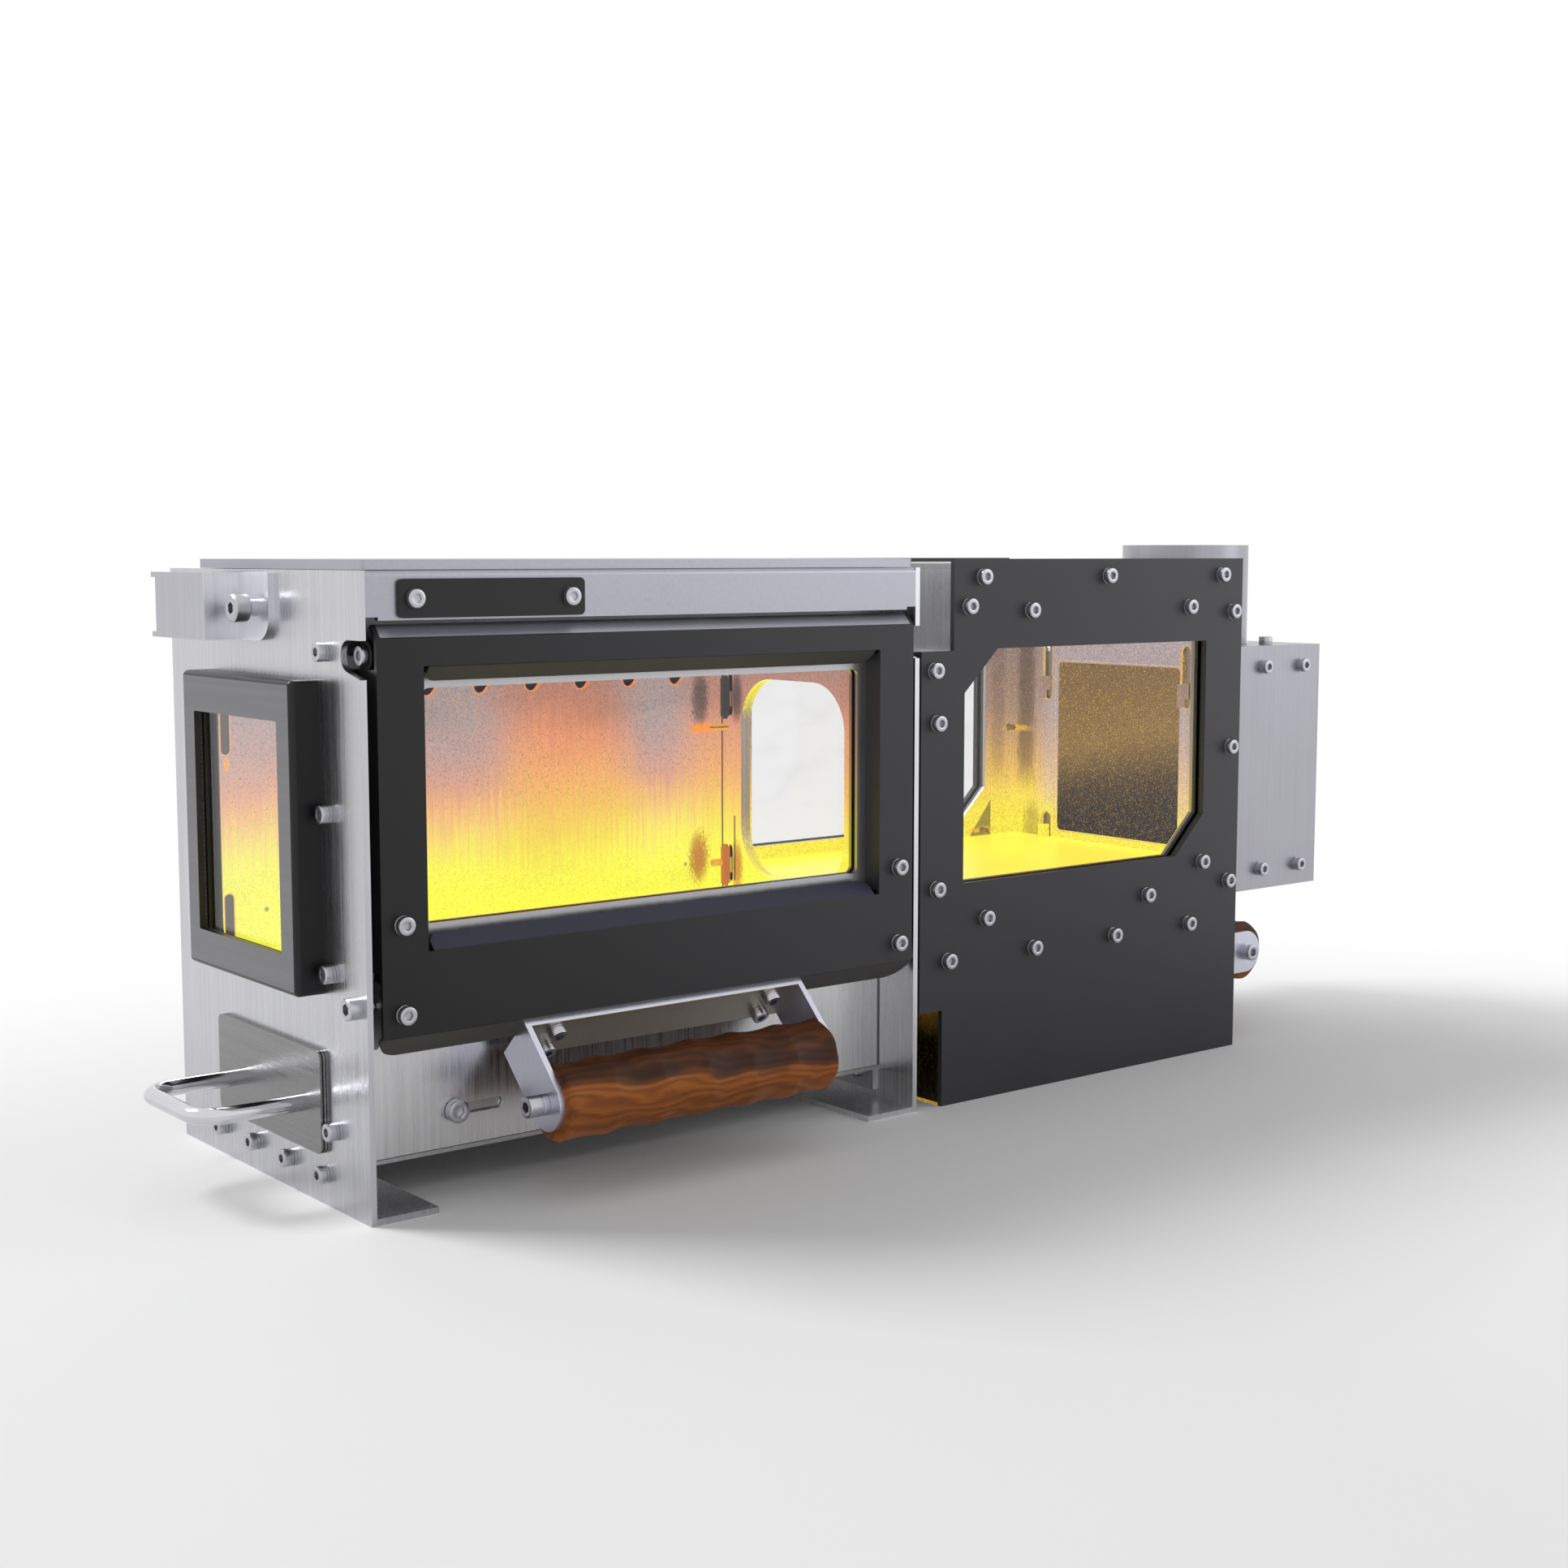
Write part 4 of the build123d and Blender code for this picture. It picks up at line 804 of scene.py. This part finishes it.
class StoveStudio(bpy.types.PropertyGroup):
    """Floor, light and camera."""

    floor: colour_prop("Floor", "Pale floor", "e8e8e8")
    world: number_prop("Surroundings", "Light from all round", 0.56, min=0.0, max=2.0)
    key: number_prop("Key light", "Large lamp behind on the left", 185.0, min=0.0, unit="POWER")
    lens: number_prop("Lens", "Focal length in millimetres", 50.0, min=10.0, max=200.0)
    camera: FloatVectorProperty(
        name="Camera", description="Place of the camera", subtype="XYZ", unit="LENGTH", size=3,
        default=(-0.76415, -0.93169, 0.29609),
    )
    aim: FloatVectorProperty(
        name="Aim", description="Direction in which the camera looks", subtype="DIRECTION",
        size=3, default=(0.61848, 0.77873, -0.10517),
    )


# Operators


class STOVE_OT_steel(bpy.types.Operator):
    """Finishes every steel sheet, bracket and rod"""

    bl_idname = "stove.steel"
    bl_label = "Steel parts"

    def execute(self, context):
        metal = context.scene.stove_metal
        rough = metal.roughness
        corner, edge, joint = (0.558, PANEL_CORNER), (0.93, OPENING_EDGE), (0.93, DRAWER_JOINT)
        pad, web = (metal.pad, HANGER_PAD), (metal.web, BRACKET_WEB)
        dress(steel("end_plate_steel", metal.front, rough - 0.05, "painted_details", shadow=corner))
        left = steel(
            "left_plate_steel", metal.end_plate, rough - 0.08, "plain", contrast=0.34, shadow=edge
        )
        dress(left, "left_end_plate")
        dress(steel("bright_steel", metal.bright, rough, "plain"))
        dress(steel("top_steel", metal.bright, rough, "plain", "Y"), "top_plate", "hot_plate")
        # The hanger's pad patch is painted light
        hanger = steel("hanger_steel", metal.hanger, rough, contrast=0.28, patch=pad)
        dress(hanger, "hanger_bracket")
        dress(steel("sheet_steel", metal.sheet, rough, "painted_details"))
        dress(steel("chamber_steel", metal.end_plate, 0.3, "chamber"), "chamber_left_wall")
        dress(steel("hot_steel", metal.sheet, rough, "painted_details"))
        dress(steel("drawer_steel", metal.drawer, 0.26, grain="Y", contrast=0.34, shadow=joint))
        # The web's patch is painted shade
        dress(steel("bracket_steel", metal.bracket, rough, patch=web))
        dress(steel("flue_steel", metal.flue, rough, "plain"))
        dress(polished("chrome_rod", metal.rod, 0.12))
        dress(polished("screw_steel", metal.screws, 0.3))
        return {"FINISHED"}


class STOVE_OT_paint(bpy.types.Operator):
    """Finishes the black sheets, the glass and the seals"""

    bl_idname = "stove.paint"
    bl_label = "Black sheets, glass and seals"

    def execute(self, context):
        paint = context.scene.stove_paint
        rough = paint.roughness
        dress(black_paint("black_paint", paint.panels, rough))
        dress(black_paint("plate_paint", paint.black, rough), "nameplate")
        dress(black_paint("door_paint", paint.black, rough, door=True), "door_face")
        dress(black_paint("retainer_paint", paint.black, rough), "side_window_retainer")
        dress(cover_paint("cover_paint", paint.black, paint.worn, 0.34), "side_window_cover")
        dress(window_glass("window_glass"))
        dress(window_glass("rear_glass", 0.84), "chamber_rear_glass")
        dress(rope("seal_rope", paint.rope))
        return {"FINISHED"}


def solids(node):
    """The points of each separate solid of a CAD node."""
    mesh = bmesh.new()
    mesh.from_mesh(NODES[node].data)
    bmesh.ops.remove_doubles(mesh, verts=mesh.verts, dist=1e-6)
    left, groups = set(mesh.verts), []
    while left:
        group, edge = set(), [left.pop()]
        while edge:
            vert = edge.pop()
            group.add(vert)
            near = {e.other_vert(vert) for e in vert.link_edges} & left
            left -= near
            edge.extend(near)
        groups.append(np.array([vert.co for vert in group]))
    mesh.free()
    return groups


def measured_screw(points):
    """Seat, direction and sizes of one screw from the points of its solid, in metres."""
    middle = points.mean(0)
    spread, ways = np.linalg.eigh(np.cov((points - middle).T))
    axis = ways[:, 2] if spread[1] - spread[0] < spread[2] - spread[1] else ways[:, 0]
    side = ways[:, 1]
    third = np.cross(axis, side)
    across = [(points - middle) @ way for way in (side, third)]
    offset = [(row.min() + row.max()) / 2 for row in across]
    middle = middle + side * offset[0] + third * offset[1]
    along = (points - middle) @ axis
    reach = np.linalg.norm(points - middle - np.outer(along, axis), axis=1)
    head = along[reach > 0.97 * reach.max()]
    if head.mean() < (along.min() + along.max()) / 2:
        axis, along, head = -axis, -along, -head
    seat = head.min()
    shank = reach[along < seat - 0.3 * (seat - along.min())].max()
    sizes = (reach.max(), along.max() - seat, shank, seat - along.min())
    return middle + axis * seat, axis, tuple(round(size, 5) for size in sizes)


def screw_tree(sides):
    """Geometry nodes that put one turned socket screw on every point, facing its axis."""
    group = bpy.data.node_groups.new("Socket screws", "GeometryNodeTree")
    graph = Graph(group)
    lengths = (
        "Head Radius", "Head Height", "Shank Radius", "Shank Length", "Key Width", "Chamfer",
        "Socket Mouth",
    )
    kinds = {"Points": "Geometry", **dict.fromkeys(lengths, "Float")}
    kinds |= {"Seed": "Int", "Material": "Material"}
    for name, kind in kinds.items():
        group.interface.new_socket(name, in_out="INPUT", socket_type="NodeSocket" + kind)
    group.interface.new_socket("Screws", in_out="OUTPUT", socket_type="NodeSocketGeometry")
    entry = group.nodes.new("NodeGroupInput")
    given = {name: Value(graph, entry.outputs[name]) for name in kinds}
    rim, height, shank, length, key_width, chamfer, mouth = (given[name] for name in lengths)

    # Radius and height of each step of the outline, from the bottom of the socket to the tip
    turn = math.pi / 3
    steps = 17
    floor = height * 0.5
    groove = rim * 0.07
    index = graph.add("GeometryNodeInputIndex")
    around = (index / steps + 0.5 / steps).math("FLOOR")
    step = index - around * steps
    angle = around * (2 * math.pi / sides)
    flat = (angle + 1e-4).math("FLOORED_MODULO", turn) - turn / 2
    key = key_width * 0.5 / flat.math("COSINE")
    tip = 0.0 - length
    outline = (
        (0.0, floor - key_width * 0.12), (key, floor), (key, height - 0.1 * MM),
        (key + mouth, height), (rim - chamfer, height),
        (rim - chamfer * 0.3, height - chamfer * 0.3), (rim, height - chamfer),
        (rim, height * 0.34), (rim - groove, height * 0.31), (rim - groove, height * 0.26),
        (rim, height * 0.23), (rim, 0.2 * MM), (rim - 0.2 * MM, 0.0), (shank, 0.0),
        (shank, TIP_CHAMFER - length), (shank - TIP_CHAMFER, tip), (0.0, tip),
    )
    radii, heights = (
        graph.add(
            "GeometryNodeIndexSwitch",
            {"Index": step, **{str(i): value for i, value in enumerate(column)}},
            data_type="FLOAT", items=steps,
        )
        for column in zip(*outline)
    )
    flat_place = {0: radii * angle.math("COSINE"), 1: radii * angle.math("SINE"), 2: heights}
    place = graph.add("ShaderNodeCombineXYZ", flat_place)
    body = graph.add("GeometryNodeMeshGrid", {"Vertices X": sides + 1, "Vertices Y": steps})
    body = graph.add("GeometryNodeSetPosition", {"Geometry": body, "Position": place})
    body = graph.add("GeometryNodeMergeByDistance", {"Geometry": body, "Distance": 2e-5})
    bend = graph.add("GeometryNodeInputMeshEdgeAngle")
    for domain, shading in (
        ("FACE", {"Shade Smooth": True}), ("EDGE", {"Selection": bend > 0.5, "Shade Smooth": False})
    ):
        inputs = {"Geometry": body, **shading}
        body = graph.add("GeometryNodeSetShadeSmooth", inputs, domain=domain)
    axis = graph.add("GeometryNodeInputNamedAttribute", {"Name": "axis"}, data_type="FLOAT_VECTOR")
    facing = graph.add("FunctionNodeAlignRotationToVector", {"Vector": axis}, axis="Z")
    spin = {2: 0.0, 3: turn, "Seed": given["Seed"]}
    spin = graph.add("FunctionNodeRandomValue", spin, 1, data_type="FLOAT")
    spin = graph.add("FunctionNodeAxisAngleToRotation", {"Axis": (0, 0, 1), "Angle": spin})
    facing = {"Rotation": facing, "Rotate By": spin}
    facing = graph.add("FunctionNodeRotateRotation", facing, rotation_space="LOCAL")
    screws = {"Points": given["Points"], "Instance": body, "Rotation": facing}
    screws = graph.add("GeometryNodeInstanceOnPoints", screws)
    screws = graph.add("GeometryNodeRealizeInstances", {"Geometry": screws})
    screws = {"Geometry": screws, "Material": given["Material"]}
    graph.close("NodeGroupOutput", graph.add("GeometryNodeSetMaterial", screws))
    return group


def made_by(group, source, values):
    """The plain mesh that a geometry node group makes from a source mesh."""
    holder = placed("holder", source)
    modifier = holder.modifiers.new("nodes", "NODES")
    modifier.node_group = group
    for item in group.interface.items_tree:
        if item.in_out == "INPUT" and item.name in values:
            modifier[item.identifier] = values[item.name]
    depsgraph = bpy.context.evaluated_depsgraph_get()
    mesh = bpy.data.meshes.new_from_object(holder.evaluated_get(depsgraph), depsgraph=depsgraph)
    holder.modifiers.clear()
    bpy.data.objects.remove(holder)
    return mesh


SCREW_NODES = {
    "body_screws": "fire_section_screws",
    "panel_screws": "middle_section_screws",
    "flue_screws": "flue_box_screws",
    "door_screws": "door_and_handle_screws",
    "door_hinge_screws": "hinge_screws",
    "lower_drawer_screws": "lower_drawer_handle_screws",
    "air_slide_knob": "air_knob",
}
# Width of a screw's socket as a share of its head, and chamfer of its tip
KEY_SHARE = 0.46
TIP_CHAMFER = 0.5 * MM
# Height of the bolt head on the left end of the door's grip
LONG_HEAD = 10.4 * MM
# Head and shank, each radius and length in millimetres, of the ends that show inside
BOLT_END = (1.9, 5.0, 1.5, 1.2)
HOOK_BOLT = (2.1, 11.0, 1.5, 1.2)
LINER_TIP = (2.7, 2.4, 1.5, 0.8)
HOOK_BOLT_PLACES = ((317.0, 164.7, 196.0), (317.0, 164.7, 117.0))
# Ranges along Y in which tips show: between the middle section's walls and before the liner
CHAMBER_DEPTH = (12.0, 188.0)
LINER_TIP_DEPTH = (160.0, LINER_Y)
# Y in metres of the liner's screw tips, just before its face
TIP_PLANE = (0.0, CORNER.y + (LINER_Y - 0.05) * MM, 0.0)


def screw_mesh(group, name, kinds, settings, seed, material):
    """One mesh of screws, from rows of seats and axes under their head and shank sizes."""
    work = bmesh.new()
    for (rim, height, shank, length), places in kinds.items():
        source = bpy.data.meshes.new("places")
        source.from_pydata([seat for seat, _ in places], [], [])
        axes = source.attributes.new("axis", "FLOAT_VECTOR", "POINT")
        axes.data.foreach_set("vector", np.array([axis for _, axis in places]).ravel())
        sizes = {
            "Head Radius": rim, "Head Height": height, "Shank Radius": shank,
            "Shank Length": length, "Key Width": 2 * rim * KEY_SHARE,
            "Chamfer": min(settings.chamfer, 0.3 * height, 0.3 * rim),
            "Socket Mouth": settings.mouth,
        }
        values = {key: float(size) for key, size in sizes.items()}
        values |= {"Seed": seed, "Material": material}
        mesh = made_by(group, source, values)
        work.from_mesh(mesh)
        bpy.data.meshes.remove(mesh)
    bmesh.ops.recalc_face_normals(work, faces=work.faces)
    return ended(work, name)


class STOVE_OT_screws(bpy.types.Operator):
    """Replaces the plain screws by turned socket screws, in the same places and sizes"""

    bl_idname = "stove.screws"
    bl_label = "Socket screws"

    def execute(self, context):
        settings = context.scene.stove_screws
        group = screw_tree(settings.sides)
        material = NODES["body_screws"].data.materials[0]
        bolt_ends, liner_tips = [], []
        for number, (node, name) in enumerate(SCREW_NODES.items()):
            kinds = {}
            for points in solids(node):
                seat, axis, sizes = measured_screw(points)
                if node == "door_screws" and axis[0] < -0.9:
                    sizes = (sizes[0], LONG_HEAD, *sizes[2:])
                kinds.setdefault(sizes, []).append((seat, axis))
                tip = seat - axis * sizes[3]
                depth = (tip[1] - CORNER.y) / MM
                if node == "panel_screws" and CHAMBER_DEPTH[0] < depth < CHAMBER_DEPTH[1]:
                    bolt_ends.append((tip, -axis))
                if node == "body_screws" and LINER_TIP_DEPTH[0] < depth < LINER_TIP_DEPTH[1]:
                    liner_tips.append((tip * (1, 0, 1) + TIP_PLANE, -axis))
            mesh = screw_mesh(group, name, kinds, settings, number, material)
            piece(name, mesh, node, material, node)
        hook_bolts = [(CORNER + Vector(at) * MM, (-1.0, 0.0, 0.0)) for at in HOOK_BOLT_PLACES]
        gold = firelit_bolts("bolt_ends", context.scene.stove_metal.screws)
        liner = NODES["rear_liner"].data.materials[0]
        ends = (
            ("bolt_ends", "panel_screws", gold, {BOLT_END: bolt_ends, HOOK_BOLT: hook_bolts}),
            ("liner_screw_tips", "rear_liner", liner, {LINER_TIP: liner_tips}),
        )
        for number, (name, like, material, rows) in enumerate(ends, len(SCREW_NODES)):
            kinds = {tuple(size * MM for size in sizes): places for sizes, places in rows.items()}
            mesh = screw_mesh(group, name, kinds, settings, number, material)
            piece(name, mesh, like, material)
        return {"FINISHED"}


# How fast a scoop rises along and across the grip, and how full it is
SCOOP_RISE = (3.4, 1.9)
SCOOP_FULLNESS = 0.9
# Uneven carving round the grip, in millimetres, and rounding of its ends
CARVING = 0.25
END_ROUND = 2.6 * MM


def band(work, one, other):
    """Faces between two rings of points, or between a ring and a pole."""
    for j in range(len(one)):
        k = (j + 1) % len(one)
        ends = (other[k], other[j]) if len(other) > 1 else other
        work.faces.new((one[j], one[k], *ends))


def grip_mesh(name, centre, axis, length, radius, settings):
    """A grip carved all round with shallow scoops, as a closed mesh in metres."""
    rings, sides = 150, 96
    scoops, rows, depth = settings.scoops, settings.rows, settings.depth
    work = bmesh.new()
    loops = []
    for i in range(rings + 1):
        share = i / rings
        bow = 0.5 - 0.5 * math.cos(math.pi * share)
        share = 0.35 * bow + 0.65 * share
        along = (share - 0.5) * length
        from_end = min(share, 1 - share) * length
        inset = max(0.0, END_ROUND - from_end)
        corner = END_ROUND - math.sqrt(max(0.0, END_ROUND**2 - inset**2))
        loop = []
        for j in range(sides):
            angle = 2 * math.pi * j / sides
            column = share * scoops
            cell = math.floor(column)
            stagger = 0.5 * (cell % 2) + 0.23 * math.sin(2.1 * cell)
            row = angle * rows / (2 * math.pi) + stagger
            u, v = column - cell - 0.5, row - math.floor(row) - 0.5
            hollow = max(0.0, 1 - SCOOP_RISE[0] * u * u - SCOOP_RISE[1] * v * v)
            wave = CARVING * math.sin(3 * angle + 5.0 * share) * MM
            r = radius - depth * hollow**SCOOP_FULLNESS - corner + min(0.0, wave)
            loop.append(work.verts.new((along, r * math.cos(angle), r * math.sin(angle))))
        loops.append(loop)
    for one, other in zip(loops, loops[1:]):
        band(work, one, other)
    for loop in (loops[0], loops[-1]):
        outer = loop
        for share in (0.7, 0.35):
            ring = [work.verts.new((v.co.x, v.co.y * share, v.co.z * share)) for v in loop]
            band(work, outer, ring)
            outer = ring
        band(work, outer, [work.verts.new((loop[0].co.x, 0, 0))])
    bmesh.ops.smooth_vert(
        work, verts=[v for loop in loops[4:-4] for v in loop], factor=0.5,
        use_axis_x=True, use_axis_y=True, use_axis_z=True,
    )
    bmesh.ops.recalc_face_normals(work, faces=work.faces)
    for face in work.faces:
        face.smooth = True
    mesh = ended(work, name)
    turn = Matrix.Identity(4) if axis == "X" else Matrix.Rotation(math.pi / 2, 4, "Z")
    mesh.transform(Matrix.Translation(centre) @ turn)
    return mesh


class STOVE_OT_grips(bpy.types.Operator):
    """Carves the two walnut grips"""

    bl_idname = "stove.grips"
    bl_label = "Wooden grips"

    def execute(self, context):
        settings = context.scene.stove_grips
        for node, name, axis in (
            ("door_handle_grip", "door_walnut_grip", "X"),
            ("lower_drawer_grip", "drawer_walnut_grip", "Y"),
        ):
            low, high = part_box(node)
            centre = (low + high) / 2
            along = 0 if axis == "X" else 1
            length, radius = high[along] - low[along], (high.z - low.z) / 2
            mesh = grip_mesh(name, centre, axis, length, radius, settings)
            wood = walnut(name, (centre - CORNER) / MM, axis, settings)
            piece(name, mesh, node, wood, node)
        return {"FINISHED"}


def plates(name, boxes, across, rounding):
    """Thin plates in one mesh, their corners rounded as seen along one axis (sizes in mm)."""
    work = bmesh.new()
    for low, high in boxes:
        low, high = (CORNER + Vector(corner) * MM for corner in (low, high))
        block = bmesh.ops.create_cube(work, size=1.0)["verts"]
        for vert in block:
            share = vert.co + Vector((0.5, 0.5, 0.5))
            vert.co = [a + s * (b - a) for s, a, b in zip(share, low, high)]
        edges = {edge for vert in block for edge in vert.link_edges}
        edges = [e for e in edges if abs(e.verts[0].co[across] - e.verts[1].co[across]) > 1e-5]
        bmesh.ops.bevel(work, geom=edges, offset=rounding * MM, segments=5, affect="EDGES")
    bmesh.ops.recalc_face_normals(work, faces=work.faces)
    return ended(work, name)


# Ends of the side flanges and hook tips along X, Y (middles of the tips) and Z, in millimetres
FLANGE_X, FLANGE_Y, FLANGE_Z = (577.05, 578.25), ((32.5, 39.95), (160.05, 167.5)), (87.0, 235.0)
TIP_X, TIP_Y, TIP_Z = (312.4, 316.6), (42.0, 163.0), ((103.2, 127.6), (201.0, 226.0))
TIP_HALF = 1.6


class STOVE_OT_flanges(bpy.types.Operator):
    """Adds the flue box's side flanges and the deep tips of the middle section's hooks, as thin
    plates with rounded corners
    """

    bl_idname = "stove.flanges"
    bl_label = "Flanges and hook tips"

    def execute(self, context):
        flanges = [zip(FLANGE_X, ends, FLANGE_Z) for ends in FLANGE_Y]
        tips = [
            zip(TIP_X, (middle - TIP_HALF, middle + TIP_HALF), ends)
            for middle in TIP_Y for ends in TIP_Z
        ]
        for name, boxes, across, rounding, like in (
            ("flue_box_flanges", flanges, 0, 2.2, "flue_shell"),
            ("hook_tips", tips, 1, 1.4, "chamber_left_wall"),
        ):
            mesh = plates(name, boxes, across, rounding)
            piece(name, mesh, like, NODES[like].data.materials[0])
        return {"FINISHED"}


# Middle of the floor, reach over which it turns white, and X over which it is painted lighter, in
# metres
FLOOR_MIDDLE = (-0.2216, -0.4852, 0.0)
FLOOR_FADE = (0.62, 1.08)
FLOOR_LIGHTER_X = (-0.25, 0.35)
# Lamps: name, place, size, power in watts (None takes the setting) and colour
LAMPS = (
    ("key_lamp", (-2.32, 2.88, 3.9), 1.9, None, (1.0, 1.0, 1.0)),
    ("side_lamp", (1.9, -1.7, 1.0), 1.5, 7.0, (0.90, 0.93, 1.0)),
)
LAMP_TARGET = (0.0, 0.0, 0.12)
WHITE = (1.0, 1.0, 1.0, 1.0)


def floor_material(settings):
    """Pale floor that keeps shadows and turns to the white of the background further off."""
    material = bpy.data.materials.new("studio_floor")
    material.use_nodes = True
    graph = Graph(material.node_tree)
    point = graph.add("ShaderNodeTexCoord", output="Object")
    reach = graph.vector("DISTANCE", point, FLOOR_MIDDLE, "Value")
    mottle = graph.add("ShaderNodeTexNoise", {"Vector": point, "Scale": 9.0}) - 0.5
    # Painted light: the floor grows lighter towards the right
    side = graph.axes(point)[0].ease(*FLOOR_LIGHTER_X)
    shade = graph.scaled(tuple(settings.floor), 1.0 + mottle * 0.01 + side * 0.12)
    matt = graph.add("ShaderNodeBsdfDiffuse", {"Color": shade})
    white = graph.add("ShaderNodeEmission", {"Color": WHITE, "Strength": 1.0})
    fade = (reach + mottle * 0.05).ease(*FLOOR_FADE) * seen_rays(graph)
    surface = graph.add("ShaderNodeMixShader", {0: fade, 1: matt, 2: white})
    graph.close("ShaderNodeOutputMaterial", surface)
    return material


def seen_rays(graph):
    """1 for rays that show the background: straight, reflected or through glass."""
    straight, reflected, through = (
        graph.add("ShaderNodeLightPath", output=f"Is {ray} Ray")
        for ray in ("Camera", "Glossy", "Transmission")
    )
    return straight.either(reflected).either(through)


class STOVE_OT_studio(bpy.types.Operator):
    """Sets up the pale floor, the soft light and the camera"""

    bl_idname = "stove.studio"
    bl_label = "Studio"

    def execute(self, context):
        settings = context.scene.stove_studio
        scene = context.scene
        scene.view_settings.view_transform = "Standard"

        work = bmesh.new()
        bmesh.ops.create_circle(work, cap_ends=True, radius=9.0, segments=96)
        mesh = ended(work, "studio_floor")
        mesh.materials.append(floor_material(settings))
        placed("studio_floor", mesh)

        world = bpy.data.worlds.new("studio_world")
        world.use_nodes = True
        scene.world = world
        graph = Graph(world.node_tree)
        strength = seen_rays(graph) * (1.0 - settings.world) + settings.world
        sky = graph.add("ShaderNodeBackground", {"Color": WHITE, "Strength": strength})
        graph.close("ShaderNodeOutputWorld", sky)

        for name, place, size, power, colour in LAMPS:
            lamp = bpy.data.lights.new(name, "AREA")
            lamp.shape = "SQUARE"
            lamp.size = size
            lamp.energy = power or settings.key
            lamp.color = colour
            placed(name, lamp, place, Vector(LAMP_TARGET) - Vector(place))

        camera = bpy.data.cameras.new("camera")
        camera.lens = settings.lens
        camera.sensor_width = 36.0
        camera.clip_start = 0.01
        scene.camera = placed("camera", camera, settings.camera, settings.aim)
        return {"FINISHED"}


SETTINGS = {
    "stove_metal": StoveMetal, "stove_paint": StovePaint, "stove_fire": StoveFire,
    "stove_screws": StoveScrews, "stove_grips": StoveGrips, "stove_studio": StoveStudio,
}
OPERATORS = (
    STOVE_OT_steel, STOVE_OT_paint, STOVE_OT_screws, STOVE_OT_flanges, STOVE_OT_grips,
    STOVE_OT_studio,
)


class STOVE_PT_panel(bpy.types.Panel):
    """Lists the steps and the settings"""

    bl_idname = "STOVE_PT_panel"
    bl_label = "Camping pellet stove"
    bl_space_type = "VIEW_3D"
    bl_region_type = "UI"
    bl_category = "Stove"

    def draw(self, context):
        for operator in OPERATORS:
            self.layout.operator(operator.bl_idname)
        for name, group in SETTINGS.items():
            box = self.layout.box()
            box.label(text=group.__doc__)
            for key in group.__annotations__:
                box.prop(getattr(context.scene, name), key)


CLASSES = (*SETTINGS.values(), *OPERATORS, STOVE_PT_panel)


def register():
    for cls in CLASSES:
        bpy.utils.register_class(cls)
    for name, group in SETTINGS.items():
        setattr(bpy.types.Scene, name, PointerProperty(type=group))


def unregister():
    for name in SETTINGS:
        delattr(bpy.types.Scene, name)
    for cls in reversed(CLASSES):
        bpy.utils.unregister_class(cls)


def main():
    register()
    bpy.ops.stove.steel()
    bpy.ops.stove.paint()
    bpy.ops.stove.screws()
    bpy.ops.stove.flanges()
    bpy.ops.stove.grips()
    bpy.ops.stove.studio()


if __name__ == "__main__":
    main()
